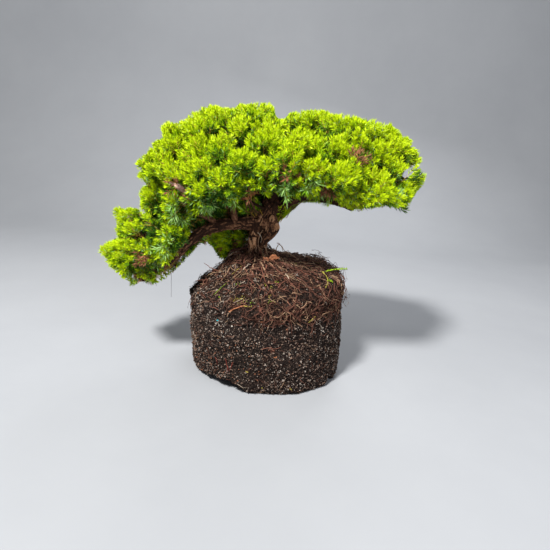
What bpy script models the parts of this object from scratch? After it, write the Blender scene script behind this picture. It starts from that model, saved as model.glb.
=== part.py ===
"""A juniper bonsai standing on its bare root ball.

Metres, +Z up.  The origin is the centre of the root ball's flat underside, the
long cascade of the crown runs out along -X, and -Y is the tree's front.  Sizes
below are given in centimetres and turned into metres by CM when meshes are made.

The tree is one trunk, its boughs and its foliage masses:
  * the root ball is a stack of uneven rings under a mounded top
  * the trunk and every bough are tapering tubes swept along a short curve; a
    bough starts on the flank of the limb that carries it and ends where it
    enters its foliage mass
  * a foliage mass is an uneven ellipsoid, trimmed back by a plane towards each
    neighbouring mass and each limb, so that no two solids meet
"""

import math

import bmesh
import bpy
from mathutils import Vector, noise

CM = 0.01
GAP = 0.035  # cm left between neighbouring solids

# ---------------------------------------------------------------- root ball

BALL_SEGMENTS = 36
BALL_FOOT = 6.55  # radius at the underside
BALL_WAIST = 6.80  # radius over most of the height
BALL_LEAN = -0.45  # how far the top has slumped towards -X
RIM_MEAN = 8.25  # height of the shoulder
RIM_RISE = 0.80  # the shoulder is higher towards +X by this much
MOUND = Vector((-1.75, 0.2, 10.30))  # the flat under the trunk
MOUND_RADIUS = 1.75

# ------------------------------------------------------------------- limbs
# name: (carried by, where along it, bend, end, radius at start, at end)
# "bend" is the control point that the limb leans towards on its way out.

TRUNK_PATH = (
    ((-1.76, 0.20, 10.33), 1.34),
    ((-1.75, 0.17, 10.75), 1.08),
    ((-1.70, 0.10, 11.50), 0.98),
    ((-1.45, 0.05, 12.35), 1.04),
    ((-1.32, 0.00, 13.15), 0.86),
    ((-1.20, 0.00, 13.85), 0.76),
    ((-0.98, 0.03, 14.40), 0.86),
    ((-0.66, 0.08, 15.05), 0.95),
)

LIMBS = {
    "leader": ("trunk", 1.00, (-0.55, 0.2, 17.0), (-2.1, 0.6, 19.95), 0.66, 0.30),
    "bough_right_inner": ("trunk", 0.96, (1.2, 0.1, 15.95), (3.5, 0.0, 15.72), 0.62, 0.40),
    "bough_right_outer": ("bough_right_inner", 1.00, (5.0, -0.2, 15.60), (6.2, -1.3, 15.20), 0.39, 0.29),
    "bough_left_inner": ("trunk", 0.57, (-4.0, -0.9, 13.15), (-6.0, -1.5, 12.60), 0.55, 0.45),
    "bough_left_bend": ("bough_left_inner", 1.00, (-7.1, -1.8, 12.0), (-8.55, -2.0, 10.30), 0.44, 0.38),
    "bough_left_outer": ("bough_left_bend", 1.00, (-9.6, -2.1, 9.15), (-11.5, -2.1, 7.75), 0.37, 0.26),
    "limb_left_upright": ("bough_left_inner", 0.42, (-4.1, -1.2, 15.0), (-3.8, -3.0, 16.35), 0.27, 0.20),
    "limb_left_low": ("bough_left_inner", 0.86, (-6.9, -1.3, 13.9), (-8.4, -1.5, 14.1), 0.24, 0.17),
    "limb_cascade_upper": ("bough_left_outer", 0.30, (-10.5, -1.2, 10.4), (-11.3, -1.0, 11.2), 0.22, 0.16),
    "bough_left_high": ("leader", 0.42, (-3.4, 0.0, 17.2), (-5.2, 0.4, 19.7), 0.34, 0.24),
    "bough_left_shoulder": ("bough_left_high", 0.62, (-6.0, 0.3, 18.3), (-7.5, 0.4, 19.3), 0.25, 0.18),
    "bough_left_mid": ("leader", 0.22, (-4.6, -0.2, 15.6), (-8.0, -1.0, 16.8), 0.34, 0.23),
    "bough_left_front": ("trunk", 0.84, (-2.9, -2.6, 15.6), (-4.6, -3.4, 15.7), 0.28, 0.20),
    "bough_front": ("leader", 0.22, (0.1, -2.2, 16.3), (0.4, -3.9, 17.3), 0.28, 0.20),
    "bough_right_high": ("leader", 0.33, (1.4, 0.1, 17.2), (1.6, 0.3, 20.1), 0.32, 0.24),
    "bough_right_crest": ("bough_right_high", 0.50, (3.2, 0.4, 18.7), (4.4, 0.5, 20.0), 0.24, 0.18),
    "bough_right_mid": ("bough_right_inner", 0.55, (2.6, -1.6, 16.5), (3.8, -2.7, 16.8), 0.26, 0.19),
    "bough_right_far": ("bough_right_inner", 0.88, (5.9, 0.6, 16.9), (8.2, 1.0, 19.6), 0.30, 0.20),
    "bough_back": ("leader", 0.20, (-0.6, 2.8, 16.4), (-1.9, 3.9, 18.0), 0.36, 0.25),
    "bough_back_right": ("leader", 0.08, (0.9, 2.4, 16.0), (2.6, 3.7, 17.3), 0.30, 0.21),
    "bough_back_left": ("leader", 0.48, (-3.0, 2.2, 17.1), (-5.8, 3.5, 17.3), 0.28, 0.20),
    "limb_back_low_left": ("trunk", 0.44, (-2.4, 2.0, 12.6), (-4.2, 3.3, 11.2), 0.27, 0.19),
    "limb_back_right_far": ("bough_right_outer", 0.30, (5.2, 1.6, 16.1), (6.4, 2.8, 17.0), 0.24, 0.17),
    "limb_back_left_far": ("bough_left_inner", 0.70, (-7.0, 0.1, 12.0), (-9.6, 1.9, 12.6), 0.26, 0.18),
}
LIMB_SIDES = 8
LIMB_RINGS = 5

# ------------------------------------------------------------------ masses
# name: (centre, half width, half depth, half height)

MASSES = {
    "cascade_tip": ((-13.1, -1.6, 9.55), 2.1, 2.3, 1.9),
    "cascade_upper": ((-12.3, -0.8, 12.2), 2.2, 2.4, 1.7),
    "cascade_mid": ((-9.9, -3.0, 11.2), 2.1, 2.0, 1.8),
    "crown_left_low": ((-9.8, -1.6, 14.4), 2.1, 2.4, 1.6),
    "crown_left_inner": ((-8.0, 1.2, 13.0), 2.5, 1.8, 1.5),
    "crown_left_front": ((-5.8, -4.0, 16.5), 2.4, 2.4, 2.3),
    "crown_left_mid": ((-9.5, -1.4, 17.3), 2.5, 2.9, 1.7),
    "crown_left_shoulder": ((-8.5, -0.2, 19.7), 2.2, 2.9, 1.8),
    "crown_left_top": ((-5.5, 1.0, 21.2), 2.6, 3.0, 1.8),
    "crown_centre_top": ((-2.2, -0.3, 21.4), 2.1, 3.0, 1.9),
    "crown_centre_front": ((-3.0, -4.4, 18.1), 2.3, 2.6, 2.4),
    "crown_front_bright": ((0.7, -5.1, 18.5), 2.1, 2.5, 2.4),
    "crown_right_top": ((1.6, 1.1, 21.1), 2.7, 2.9, 1.8),
    "crown_right_crest": ((5.1, -0.2, 21.0), 2.3, 2.9, 1.8),
    "crown_right_shoulder": ((8.3, 1.7, 20.6), 2.5, 2.8, 1.8),
    "crown_right_mid": ((4.5, -3.8, 18.1), 2.6, 2.8, 2.2),
    "crown_right_end": ((9.8, -1.2, 18.7), 2.2, 2.8, 1.6),
    "crown_right_low": ((7.8, -2.6, 16.5), 3.1, 2.9, 1.3),
    "crown_right_tip": ((11.4, 0.2, 17.3), 1.2, 2.1, 1.4),
    "crown_right_inner": ((3.6, 0.6, 17.3), 2.4, 1.9, 1.1),
    "back_centre": ((-3.4, 4.0, 14.5), 2.7, 2.2, 1.8),
    "back_right_low": ((0.8, 4.3, 14.5), 1.8, 2.0, 1.3),
    "back_low_left": ((-5.4, 4.0, 10.3), 2.0, 1.9, 1.7),
    "back_left": ((-7.6, 4.2, 16.4), 2.9, 2.8, 1.8),
    "back_left_top": ((-6.9, 4.6, 19.2), 2.7, 2.7, 1.9),
    "back_top": ((-2.5, 5.3, 19.4), 2.9, 2.9, 2.1),
    "back_right_top": ((2.6, 5.5, 18.9), 2.9, 2.8, 2.1),
    "back_right": ((3.8, 5.3, 16.6), 2.7, 2.6, 1.6),
    "back_right_far": ((7.0, 4.9, 18.2), 2.8, 2.7, 2.0),
    "back_left_far": ((-11.0, 2.7, 13.4), 2.3, 2.3, 1.8),
}
MASS_POINTS = 98
MASS_LUMPS = 0.16  # share by which a mass's surface swells and sinks
MASS_KEEP = 0.30  # cm: no trimming plane comes nearer to a mass's centre

# --------------------------------------------------------------- materials

SOIL = ((0.055, 0.038, 0.030), 0.95)
BARK = ((0.150, 0.085, 0.050), 0.85)
NEEDLES = ((0.230, 0.420, 0.040), 0.70)


def clear_scene():
    for obj in list(bpy.data.objects):
        bpy.data.objects.remove(obj, do_unlink=True)


def material(name, finish):
    colour, roughness = finish
    made = bpy.data.materials.new(name)
    made.use_nodes = True
    shader = made.node_tree.nodes["Principled BSDF"]
    shader.inputs["Base Color"].default_value = (*colour, 1.0)
    shader.inputs["Roughness"].default_value = roughness
    shader.inputs["Metallic"].default_value = 0.0
    made.diffuse_color = (*colour, 1.0)
    return made


def add_object(name, bm, finish):
    """Writes the bmesh, made in centimetres, as one named object in metres."""
    bmesh.ops.recalc_face_normals(bm, faces=bm.faces)
    bmesh.ops.scale(bm, vec=(CM, CM, CM), verts=bm.verts)
    mesh = bpy.data.meshes.new(name)
    bm.to_mesh(mesh)
    bm.free()
    mesh.shade_smooth()
    mesh.set_sharp_from_angle(angle=math.radians(50))
    mesh.materials.append(material(name + "_finish", finish))
    obj = bpy.data.objects.new(name, mesh)
    bpy.context.scene.collection.objects.link(obj)
    return obj


def skin_rings(bm, rings):
    """Closes a stack of equal rings into one body with flat ends."""
    loops = [[bm.verts.new(p) for p in ring] for ring in rings]
    count = len(loops[0])
    for low, high in zip(loops, loops[1:]):
        for i in range(count):
            j = (i + 1) % count
            bm.faces.new((low[i], low[j], high[j], high[i]))
    bm.faces.new(list(reversed(loops[0])))
    bm.faces.new(loops[-1])


# ---------------------------------------------------------------- root ball


def rim_height(angle):
    """The shoulder rises to the right and dips a little at the front."""
    lumps = 0.25 * noise.noise(Vector((2 * math.cos(angle), 2 * math.sin(angle), 7.3)))
    return RIM_MEAN + RIM_RISE * math.cos(angle) + 0.15 * math.sin(angle) + lumps


def ball_point(angle, z, share):
    """A point on the side of the root ball at a share of its shoulder's height."""
    rounded = abs(math.cos(angle)) ** 2.5 + abs(math.sin(angle)) ** 2.5
    radius = BALL_FOOT + (BALL_WAIST - BALL_FOOT) * min(1.0, share / 0.30)
    radius *= 0.35 + 0.65 * rounded ** (-1 / 2.5)
    radius -= 0.28 * max(0.0, 1 - z / 0.45) ** 2
    radius -= 0.95 * max(0.0, (share - 0.86) / 0.14) ** 2
    lump_at = Vector((0.33 * radius * math.cos(angle), 0.33 * radius * math.sin(angle), 0.42 * z))
    radius += 0.26 * noise.noise(lump_at + Vector((3.1, 8.2, 1.7)))
    slump = BALL_LEAN * share
    return Vector((radius * math.cos(angle) + slump, radius * math.sin(angle), z))


def build_root_ball():
    side = (0.0, 0.05, 0.16, 0.30, 0.45, 0.60, 0.74, 0.86, 0.94, 1.0)
    top = (0.14, 0.32, 0.52, 0.72, 0.88, 1.0)
    angles = [2 * math.pi * i / BALL_SEGMENTS for i in range(BALL_SEGMENTS)]
    rings = []
    for share in side:
        rings.append([ball_point(a, share * rim_height(a), share) for a in angles])
    rim = rings[-1]
    for s in top:
        ring = []
        for a, edge in zip(angles, rim):
            inner = MOUND + MOUND_RADIUS * Vector((math.cos(a), math.sin(a), 0))
            p = edge.lerp(inner, s)
            rise = 1 - (1 - s) ** 1.25
            p.z = edge.z + (MOUND.z - edge.z) * rise
            if s < 1.0:
                p.z += 0.16 * noise.noise(p * 0.7)
            ring.append(p)
        rings.append(ring)
    bm = bmesh.new()
    skin_rings(bm, rings)
    add_object("root_ball", bm, SOIL)


# -------------------------------------------------------------------- limbs


class Limb:
    """A tapering tube: points along its axis, and a radius at each."""

    def __init__(self, name, points, radii, first_normal=None, last_normal=None):
        self.name, self.points, self.radii = name, points, radii
        count = len(points)
        self.normals = []
        for i in range(count):
            a, b = points[max(i - 1, 0)], points[min(i + 1, count - 1)]
            self.normals.append((b - a).normalized())
        if first_normal is not None:
            self.normals[0] = first_normal
        if last_normal is not None:
            self.normals[-1] = last_normal

    def at(self, share):
        """Point, direction and radius at a share of the way along."""
        x = share * (len(self.points) - 1)
        i = min(int(x), len(self.points) - 2)
        f = x - i
        point = self.points[i].lerp(self.points[i + 1], f)
        radius = self.radii[i] * (1 - f) + self.radii[i + 1] * f
        direction = (self.points[i + 1] - self.points[i]).normalized()
        return point, direction, radius

    def rings(self, sides, knots):
        out = []
        across = self.normals[0].orthogonal().normalized()
        for i, (point, normal, radius) in enumerate(
            zip(self.points, self.normals, self.radii)
        ):
            across = (across - normal * across.dot(normal)).normalized()
            other = normal.cross(across)
            ring = []
            for k in range(sides):
                a = 2 * math.pi * k / sides
                out_dir = across * math.cos(a) + other * math.sin(a)
                bump = knots * noise.noise((point + out_dir * radius) * 1.3)
                ring.append(point + out_dir * radius * (1 - knots + bump))
            out.append(ring)
        return out


def bend(start, control, end, share):
    """A point on the curve that leaves start towards control and comes to end."""
    return start.lerp(control, share).lerp(control.lerp(end, share), share)


def grow_trunk():
    points = [Vector(p) for p, _ in TRUNK_PATH]
    radii = [r for _, r in TRUNK_PATH]
    up = Vector((0, 0, 1))
    lean = (points[-1] - points[-2]).normalized()
    return Limb("trunk", points, radii, first_normal=up, last_normal=lean)


def grow_limb(name, carrier, share, control, end, r0, r1):
    """Sets a limb's foot on its carrier's flank, or on its end where share is 1."""
    control, end = Vector(control), Vector(end)
    point, direction, radius = carrier.at(share)
    if share >= 1.0:
        normal = carrier.normals[-1]
        start = carrier.points[-1] + normal * GAP
    else:
        normal = control - point
        normal = (normal - direction * normal.dot(direction)).normalized()
        start = point + normal * (radius + GAP + 0.03)
    shares = [i / (LIMB_RINGS - 1) for i in range(LIMB_RINGS)]
    points = [bend(start, control, end, s) for s in shares]
    radii = [r0 + (r1 - r0) * s for s in shares]
    last = (end - control).normalized()
    return Limb(name, points, radii, first_normal=normal, last_normal=last)


def build_limbs():
    limbs = {"trunk": grow_trunk()}
    for name, (carrier, share, control, end, r0, r1) in LIMBS.items():
        limbs[name] = grow_limb(name, limbs[carrier], share, control, end, r0, r1)
    for name, limb in limbs.items():
        bm = bmesh.new()
        if name == "trunk":
            skin_rings(bm, limb.rings(14, 0.08))
        else:
            skin_rings(bm, limb.rings(LIMB_SIDES, 0.04))
        add_object(name, bm, BARK)
    return limbs


# ------------------------------------------------------------------- masses


def reach(radii, direction):
    """How far an ellipsoid of these half sizes extends along a direction."""
    return math.sqrt(sum((r * d) ** 2 for r, d in zip(radii, direction)))


def cuts_from_masses(name, centre, radii):
    """A plane between this mass and each other: (outward direction, distance)."""
    planes = []
    for other, (at, *other_radii) in MASSES.items():
        if other == name:
            continue
        away = Vector(at) - centre
        distance = away.length
        away.normalize()
        mine, theirs = reach(radii, away), reach(other_radii, away)
        planes.append((away, distance * mine / (mine + theirs) - GAP / 2))
    return planes


def cuts_from_limbs(centre, limbs):
    """A plane in front of each straight stretch of each limb."""
    planes = []
    for limb in limbs.values():
        for i in range(len(limb.points) - 1):
            a, b = limb.points[i], limb.points[i + 1]
            run = b - a
            share = max(0.0, min(1.0, (centre - a).dot(run) / run.length_squared))
            nearest = a + run * share
            away = nearest - centre
            distance = away.length
            thick = max(limb.radii[i], limb.radii[i + 1])
            planes.append((away / distance, distance - thick - GAP))
    return planes


def even_directions(count):
    """Directions spread evenly over a sphere, on a spiral."""
    golden = math.pi * (3 - math.sqrt(5))
    for i in range(count):
        z = 1 - 2 * (i + 0.5) / count
        flat = math.sqrt(1 - z * z)
        yield Vector((flat * math.cos(golden * i), flat * math.sin(golden * i), z))


def build_mass(name, seed, limbs):
    at, *radii = MASSES[name]
    centre = Vector(at)
    planes = cuts_from_masses(name, centre, radii) + cuts_from_limbs(centre, limbs)
    planes = [(n, d) for n, d in planes if d < 2.0 * max(radii)]
    if min(d for _, d in planes) < MASS_KEEP:
        raise ValueError(f"{name} is cut within {MASS_KEEP} cm of its centre")
    shift = Vector((seed * 7.31, seed * 3.17, seed * 5.73))
    bm = bmesh.new()
    verts = [bm.verts.new(d) for d in even_directions(MASS_POINTS)]
    bmesh.ops.convex_hull(bm, input=verts)
    for v in bm.verts:
        d = v.co.normalized()
        size = 1 / math.sqrt(sum((x / r) ** 2 for x, r in zip(d, radii)))
        lumps = noise.noise(d * 1.9 + shift) + 0.5 * noise.noise(d * 4.1 + shift)
        size *= 1 + MASS_LUMPS * lumps
        for normal, distance in planes:
            facing = d.dot(normal)
            if facing > 1e-6:
                size = min(size, distance / facing)
        v.co = centre + d * size
    add_object(name, bm, NEEDLES)


def main():
    clear_scene()
    build_root_ball()
    limbs = build_limbs()
    for seed, name in enumerate(MASSES, start=1):
        build_mass(name, seed, limbs)


main()
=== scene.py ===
"""The looks of the juniper bonsai: bark, twigs, needles, root ball, floor, light and camera.

Lengths in the tables and the growing code are centimetres, and CM turns them into metres
when a mesh is written.  Everything random comes from seeded generators.
"""

import math

import bmesh
import bpy
import numpy as np
from mathutils import Matrix, Vector, noise
from mathutils.bvhtree import BVHTree
from mathutils.kdtree import KDTree


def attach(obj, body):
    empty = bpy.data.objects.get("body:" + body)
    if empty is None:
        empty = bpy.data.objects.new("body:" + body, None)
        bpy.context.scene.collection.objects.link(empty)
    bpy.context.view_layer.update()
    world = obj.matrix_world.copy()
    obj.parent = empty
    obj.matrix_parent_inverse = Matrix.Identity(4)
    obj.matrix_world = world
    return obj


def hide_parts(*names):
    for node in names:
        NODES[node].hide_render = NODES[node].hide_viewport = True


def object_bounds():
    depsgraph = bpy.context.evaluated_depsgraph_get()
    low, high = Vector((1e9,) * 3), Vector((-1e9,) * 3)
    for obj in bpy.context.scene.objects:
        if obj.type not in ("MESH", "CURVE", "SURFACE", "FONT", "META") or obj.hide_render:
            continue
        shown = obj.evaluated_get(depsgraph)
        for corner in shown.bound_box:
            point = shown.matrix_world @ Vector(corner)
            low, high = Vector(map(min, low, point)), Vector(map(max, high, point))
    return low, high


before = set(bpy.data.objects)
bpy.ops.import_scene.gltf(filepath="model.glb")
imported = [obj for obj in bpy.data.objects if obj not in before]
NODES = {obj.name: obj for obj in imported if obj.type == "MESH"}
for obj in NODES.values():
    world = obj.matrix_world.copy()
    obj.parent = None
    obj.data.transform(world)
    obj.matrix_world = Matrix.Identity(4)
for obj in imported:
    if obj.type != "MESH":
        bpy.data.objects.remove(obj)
CAD_BOX = [list(map(float, corner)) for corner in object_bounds()]
CM = 0.01


# =========================================================== small helpers


def unit(v):
    v = np.asarray(v, float)
    return v / np.maximum(np.linalg.norm(v, axis=-1, keepdims=True), 1e-9)


def write_mesh(name, points, faces, materials, dealt=None, smooth=False):
    """One object from arrays. points are cm, faces an (n, 3) or (n, 4) array."""
    points, faces = np.asarray(points, np.float32), np.asarray(faces, np.int32)
    count, corners = faces.shape
    mesh = bpy.data.meshes.new(name)
    mesh.vertices.add(len(points))
    mesh.vertices.foreach_set("co", (points * CM).ravel())
    mesh.loops.add(count * corners)
    mesh.loops.foreach_set("vertex_index", faces.ravel())
    mesh.polygons.add(count)
    mesh.polygons.foreach_set("loop_start", np.arange(count, dtype=np.int32) * corners)
    for m in materials:
        mesh.materials.append(m)
    if dealt is not None:
        mesh.polygons.foreach_set("material_index", np.asarray(dealt, np.int32))
    mesh.polygons.foreach_set("use_smooth", np.full(count, smooth, bool))
    mesh.update(calc_edges=True)
    obj = bpy.data.objects.new(name, mesh)
    bpy.context.scene.collection.objects.link(obj)
    return obj


class Heap:
    """Gathers many small meshes with three-cornered faces into one."""

    def __init__(self):
        self.points, self.faces, self.dealt, self.count = [], [], [], 0

    def add(self, points, faces, dealt=0):
        points, faces = np.asarray(points, float), np.asarray(faces, np.int64)
        self.points.append(points.reshape(-1, 3))
        self.faces.append(faces + self.count)
        self.dealt.append(np.broadcast_to(np.asarray(dealt), (len(faces),)))
        self.count += len(points.reshape(-1, 3))

    def write(self, name, materials, smooth=False):
        return write_mesh(
            name,
            np.concatenate(self.points),
            np.concatenate(self.faces),
            materials,
            np.concatenate(self.dealt),
            smooth,
        )


def frames_along(paths):
    """Two side directions at each point of many paths, (n, k, 3) each."""
    run = unit(np.gradient(paths, axis=1))
    helper = np.where(np.abs(run[..., 2:3]) > 0.9, [1.0, 0, 0], [0, 0, 1.0])
    # one helper for a whole path, so that its frame doesn't flip on the way
    helper = np.broadcast_to(helper[:, :1], run.shape)
    u = unit(np.cross(run, helper))
    return run, u, np.cross(run, u)


def tubes(paths, radii, sides, close_tip=True):
    """Many tubes at once: paths (n, k, 3), radii (n, k). Points and triangles."""
    n, k, _ = paths.shape
    _, u, v = frames_along(paths)
    a = 2 * np.pi * np.arange(sides) / sides
    ring = (
        u[:, :, None] * np.cos(a)[:, None] + v[:, :, None] * np.sin(a)[:, None]
    ) * radii[:, :, None, None]
    points = paths[:, :, None] + ring  # n, k, sides, 3
    j = np.arange(sides)
    j2 = (j + 1) % sides
    faces = []
    for i in range(k - 1):
        lo, hi = i * sides, (i + 1) * sides
        faces.append(np.stack([lo + j, lo + j2, hi + j2], 1))
        faces.append(np.stack([lo + j, hi + j2, hi + j], 1))
    if close_tip:
        last = (k - 1) * sides
        for s in range(1, sides - 1):
            faces.append(np.array([[last, last + s, last + s + 1]]))
    faces = np.concatenate(faces)
    per = k * sides
    every = (faces[None] + (np.arange(n) * per)[:, None, None]).reshape(-1, 3)
    return points.reshape(-1, 3), every


def bezier(a, b, c, steps):
    """Many quadratic curves: (n, 3) each, to (n, steps, 3)."""
    t = np.linspace(0, 1, steps)[None, :, None]
    a, b, c = a[:, None], b[:, None], c[:, None]
    return (1 - t) ** 2 * a + 2 * t * (1 - t) * b + t**2 * c


def clusters(points, k, rng, rounds=6):
    """Lloyd's rule: the group that each point belongs to."""
    k = min(k, len(points))
    seeds = points[rng.choice(len(points), k, replace=False)]
    for _ in range(rounds):
        near = np.linalg.norm(points[:, None] - seeds[None], axis=2).argmin(1)
        for i in range(k):
            if (near == i).any():
                seeds[i] = points[near == i].mean(0)
    return near


# ============================================================== materials


def new_material(name, colour, roughness=0.6, specular=0.5):
    made = bpy.data.materials.new(name)
    made.use_nodes = True
    shader = made.node_tree.nodes["Principled BSDF"]
    shader.inputs["Base Color"].default_value = (*colour, 1)
    shader.inputs["Roughness"].default_value = roughness
    shader.inputs["Specular IOR Level"].default_value = specular
    return made


def node(tree, kind, **values):
    made = tree.nodes.new(kind)
    for key, value in values.items():
        if key in made.inputs:
            made.inputs[key].default_value = value
        else:
            setattr(made, key, value)
    return made


def ramp(tree, stops):
    made = tree.nodes.new("ShaderNodeValToRGB")
    elements = made.color_ramp.elements
    while len(elements) < len(stops):
        elements.new(0.5)
    for element, (at, colour) in zip(elements, stops):
        element.position = at
        element.color = (*colour, 1)
    return made


def mottled(name, stops, scale, roughness, bump=0.0, stretch=(1, 1, 1), detail=6.0):
    """A material whose colour runs along a ramp by a noise pattern, with its bump."""
    made = new_material(name, stops[0][1], roughness, 0.10)
    tree = made.node_tree
    shader = tree.nodes["Principled BSDF"]
    coord = node(tree, "ShaderNodeTexCoord")
    place = node(tree, "ShaderNodeMapping")
    place.inputs["Scale"].default_value = stretch
    tree.links.new(coord.outputs["Object"], place.inputs["Vector"])
    pattern = node(tree, "ShaderNodeTexNoise", Scale=scale, Detail=detail, Roughness=0.65)
    tree.links.new(place.outputs["Vector"], pattern.inputs["Vector"])
    colours = ramp(tree, stops)
    tree.links.new(pattern.outputs["Fac"], colours.inputs["Fac"])
    tree.links.new(colours.outputs["Color"], shader.inputs["Base Color"])
    if bump:
        relief = node(tree, "ShaderNodeBump", Strength=bump, Distance=0.0006)
        tree.links.new(pattern.outputs["Fac"], relief.inputs["Height"])
        tree.links.new(relief.outputs["Normal"], shader.inputs["Normal"])
    return made


# needle colours, dealt out by spray and by place along a shoot; their steps from lime to deep green are the needles'
# own colours and also painted light and shade
LIME, BRIGHT, MID, DEEP, PALE, BROWN = range(6)
NEEDLE_MATERIALS = [
    new_material("needle_lime", (0.435, 0.570, 0.003), 0.50, 0.16),
    new_material("needle_bright", (0.285, 0.440, 0.003), 0.48, 0.16),
    new_material("needle_mid", (0.110, 0.235, 0.006), 0.48, 0.16),
    new_material("needle_deep", (0.028, 0.080, 0.008), 0.55, 0.12),
    new_material("needle_pale", (0.265, 0.440, 0.125), 0.50, 0.20),
    new_material("needle_brown", (0.270, 0.110, 0.055), 0.70, 0.16),
]
TWIG_MATERIALS = [
    mottled("twig_brown", [(0.3, (0.055, 0.026, 0.016)), (0.7, (0.20, 0.095, 0.050))], 600, 0.8),
    new_material("twig_green", (0.50, 0.29, 0.04), 0.6, 0.2),
]


# ================================================= camera, floor and light


PITCH, ROLL = 0.25966307, 0.07030452  # 15 degrees down, rolled a little
EYE = np.array([0.027, -38.027, 18.606])  # cm
FOCUS = 430.0  # in widths of a pixel of a 550 x 550 frame
AHEAD = np.array([0, math.cos(PITCH), -math.sin(PITCH)])
UPWARD = np.array([0, math.sin(PITCH), math.cos(PITCH)])
VIEW_X = np.array([math.cos(ROLL), 0, 0]) + math.sin(ROLL) * UPWARD
VIEW_Y = np.array([-math.sin(ROLL), 0, 0]) + math.cos(ROLL) * UPWARD


def view(points):
    """Where points come to lie in the 550 x 550 frame, from its upper left corner."""
    d = np.asarray(points, float) - EYE
    far = d @ AHEAD
    return np.stack([275 + FOCUS * (d @ VIEW_X) / far, 275 - FOCUS * (d @ VIEW_Y) / far], -1)


def inside(outline, spots):
    """Which spots of the frame lie inside a closed outline."""
    out = np.zeros(len(spots), bool)
    x, y = spots[:, 0], spots[:, 1]
    for (x0, y0), (x1, y1) in zip(outline, np.roll(outline, -1, axis=0)):
        if y0 == y1:
            continue
        crosses = ((y0 > y) != (y1 > y)) & (x < (x1 - x0) * (y - y0) / (y1 - y0) + x0)
        out ^= crosses
    return out


# the leafy crown's edge as it stands from the camera's side, gaps and notches included
OUTLINE = np.array([
    (259, 101), (270, 101), (275, 107), (276, 116), (279, 118), (284, 118), (290, 112),
    (305, 109), (324, 109), (332, 112), (340, 114), (344, 112), (350, 112), (359, 116),
    (363, 119), (366, 117), (369, 122), (371, 118), (378, 117), (383, 120), (391, 120),
    (393, 126), (399, 129), (403, 136), (409, 136), (413, 141), (412, 147), (421, 149),
    (419, 154), (424, 158), (423, 163), (417, 167), (410, 168), (404, 171), (403, 178),
    (407, 180), (412, 174), (417, 169), (424, 167), (427, 174), (425, 184), (417, 192),
    (412, 200), (409, 207), (408, 213), (401, 212), (393, 207), (383, 206), (376, 210),
    (368, 209), (361, 212), (359, 218), (355, 218), (351, 211), (345, 209), (338, 209),
    (334, 210), (328, 207), (322, 206), (318, 206), (312, 203), (306, 203), (300, 203),
    (296, 209), (290, 213), (285, 218), (280, 219), (281, 232), (270, 244), (268, 262),
    (245, 263), (231, 263), (222, 262), (217, 258), (214, 249), (208, 244), (203, 240),
    (197, 244), (191, 250), (187, 255), (180, 262), (170, 272), (163, 278), (156, 282),
    (150, 283), (144, 281), (139, 279), (137, 283), (131, 288), (128, 288), (130, 281),
    (119, 278), (118, 272), (114, 273), (108, 267), (108, 262), (100, 260), (98, 254),
    (98, 247), (106, 241), (113, 239), (117, 240), (114, 228), (117, 222), (109, 214),
    (111, 209), (118, 206), (123, 209), (128, 207), (136, 208), (142, 214), (147, 211),
    (138, 206), (140, 201), (138, 193), (141, 187), (149, 183), (136, 178), (136, 173),
    (141, 169), (136, 167), (134, 163), (140, 155), (147, 153), (147, 142), (152, 142),
    (158, 138), (163, 137), (159, 126), (160, 122), (168, 120), (175, 122), (183, 119),
    (189, 117), (189, 110), (197, 110), (201, 105), (207, 103), (216, 105), (225, 107),
    (235, 107), (240, 102), (246, 104),
], float)
SKY_HOLES = ((398, 181, 3.0), (383, 129, 2.0), (127, 216, 3.0), (147, 222, 3.5))


def edge_room(points):
    """How far inside the crown's edge points stand in the frame; negative outside."""
    spots = view(points)
    room = np.empty(len(spots))
    start = OUTLINE
    run = np.roll(OUTLINE, -1, axis=0) - start
    length = (run**2).sum(1)
    for i in range(0, len(spots), 20000):
        part = spots[i : i + 20000]
        rel = part[:, None] - start[None]
        t = np.clip((rel * run).sum(2) / length, 0, 1)
        near = np.sqrt(((rel - t[..., None] * run) ** 2).sum(2).min(1))
        near = np.where(inside(OUTLINE, part), near, -near)
        for x, y, r in SKY_HOLES:
            near = np.minimum(near, np.hypot(part[:, 0] - x, part[:, 1] - y) - r)
        room[i : i + 20000] = near
    return room


BOX_LOW, BOX_HIGH = (np.array(corner) / CM for corner in CAD_BOX)
BOX_SLACK = 0.025 * (BOX_HIGH - BOX_LOW)


def in_box(points):
    """Which points lie inside the solids' box, or hardly outside it."""
    return ((points > BOX_LOW - BOX_SLACK) & (points < BOX_HIGH + BOX_SLACK)).all(1)


def add_camera():
    data = bpy.data.cameras.new("camera")
    data.sensor_width = 36
    data.lens = FOCUS / 550 * 36
    data.clip_start = 0.01
    camera = bpy.data.objects.new("camera", data)
    turn = Matrix((Vector(VIEW_X), Vector(VIEW_Y), Vector(-AHEAD))).transposed()
    camera.matrix_world = Matrix.Translation(Vector(EYE * CM)) @ turn.to_4x4()
    bpy.context.scene.collection.objects.link(camera)
    bpy.context.scene.camera = camera


def add_floor():
    """A pale sheet that runs back and sweeps up behind, as in a small studio."""
    depth, rise, bend = 1.1, 1.6, 0.5
    profile = [(-2.2, 0.0), (depth - bend, 0.0)]
    for i in range(1, 13):
        a = math.pi / 2 * i / 12
        profile.append((depth - bend + bend * math.sin(a), bend * (1 - math.cos(a))))
    profile.append((depth, rise))
    points, faces = [], []
    for y, z in profile:
        points += [(-260, y * 100, z * 100), (260, y * 100, z * 100)]
    for i in range(len(profile) - 1):
        faces.append((2 * i, 2 * i + 1, 2 * i + 3, 2 * i + 2))
    pale = mottled("floor_pale", [(0.3, (0.27, 0.28, 0.30)), (0.7, (0.30, 0.31, 0.33))], 3, 0.6)
    floor = write_mesh("floor", points, faces, [pale], smooth=True)


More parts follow.
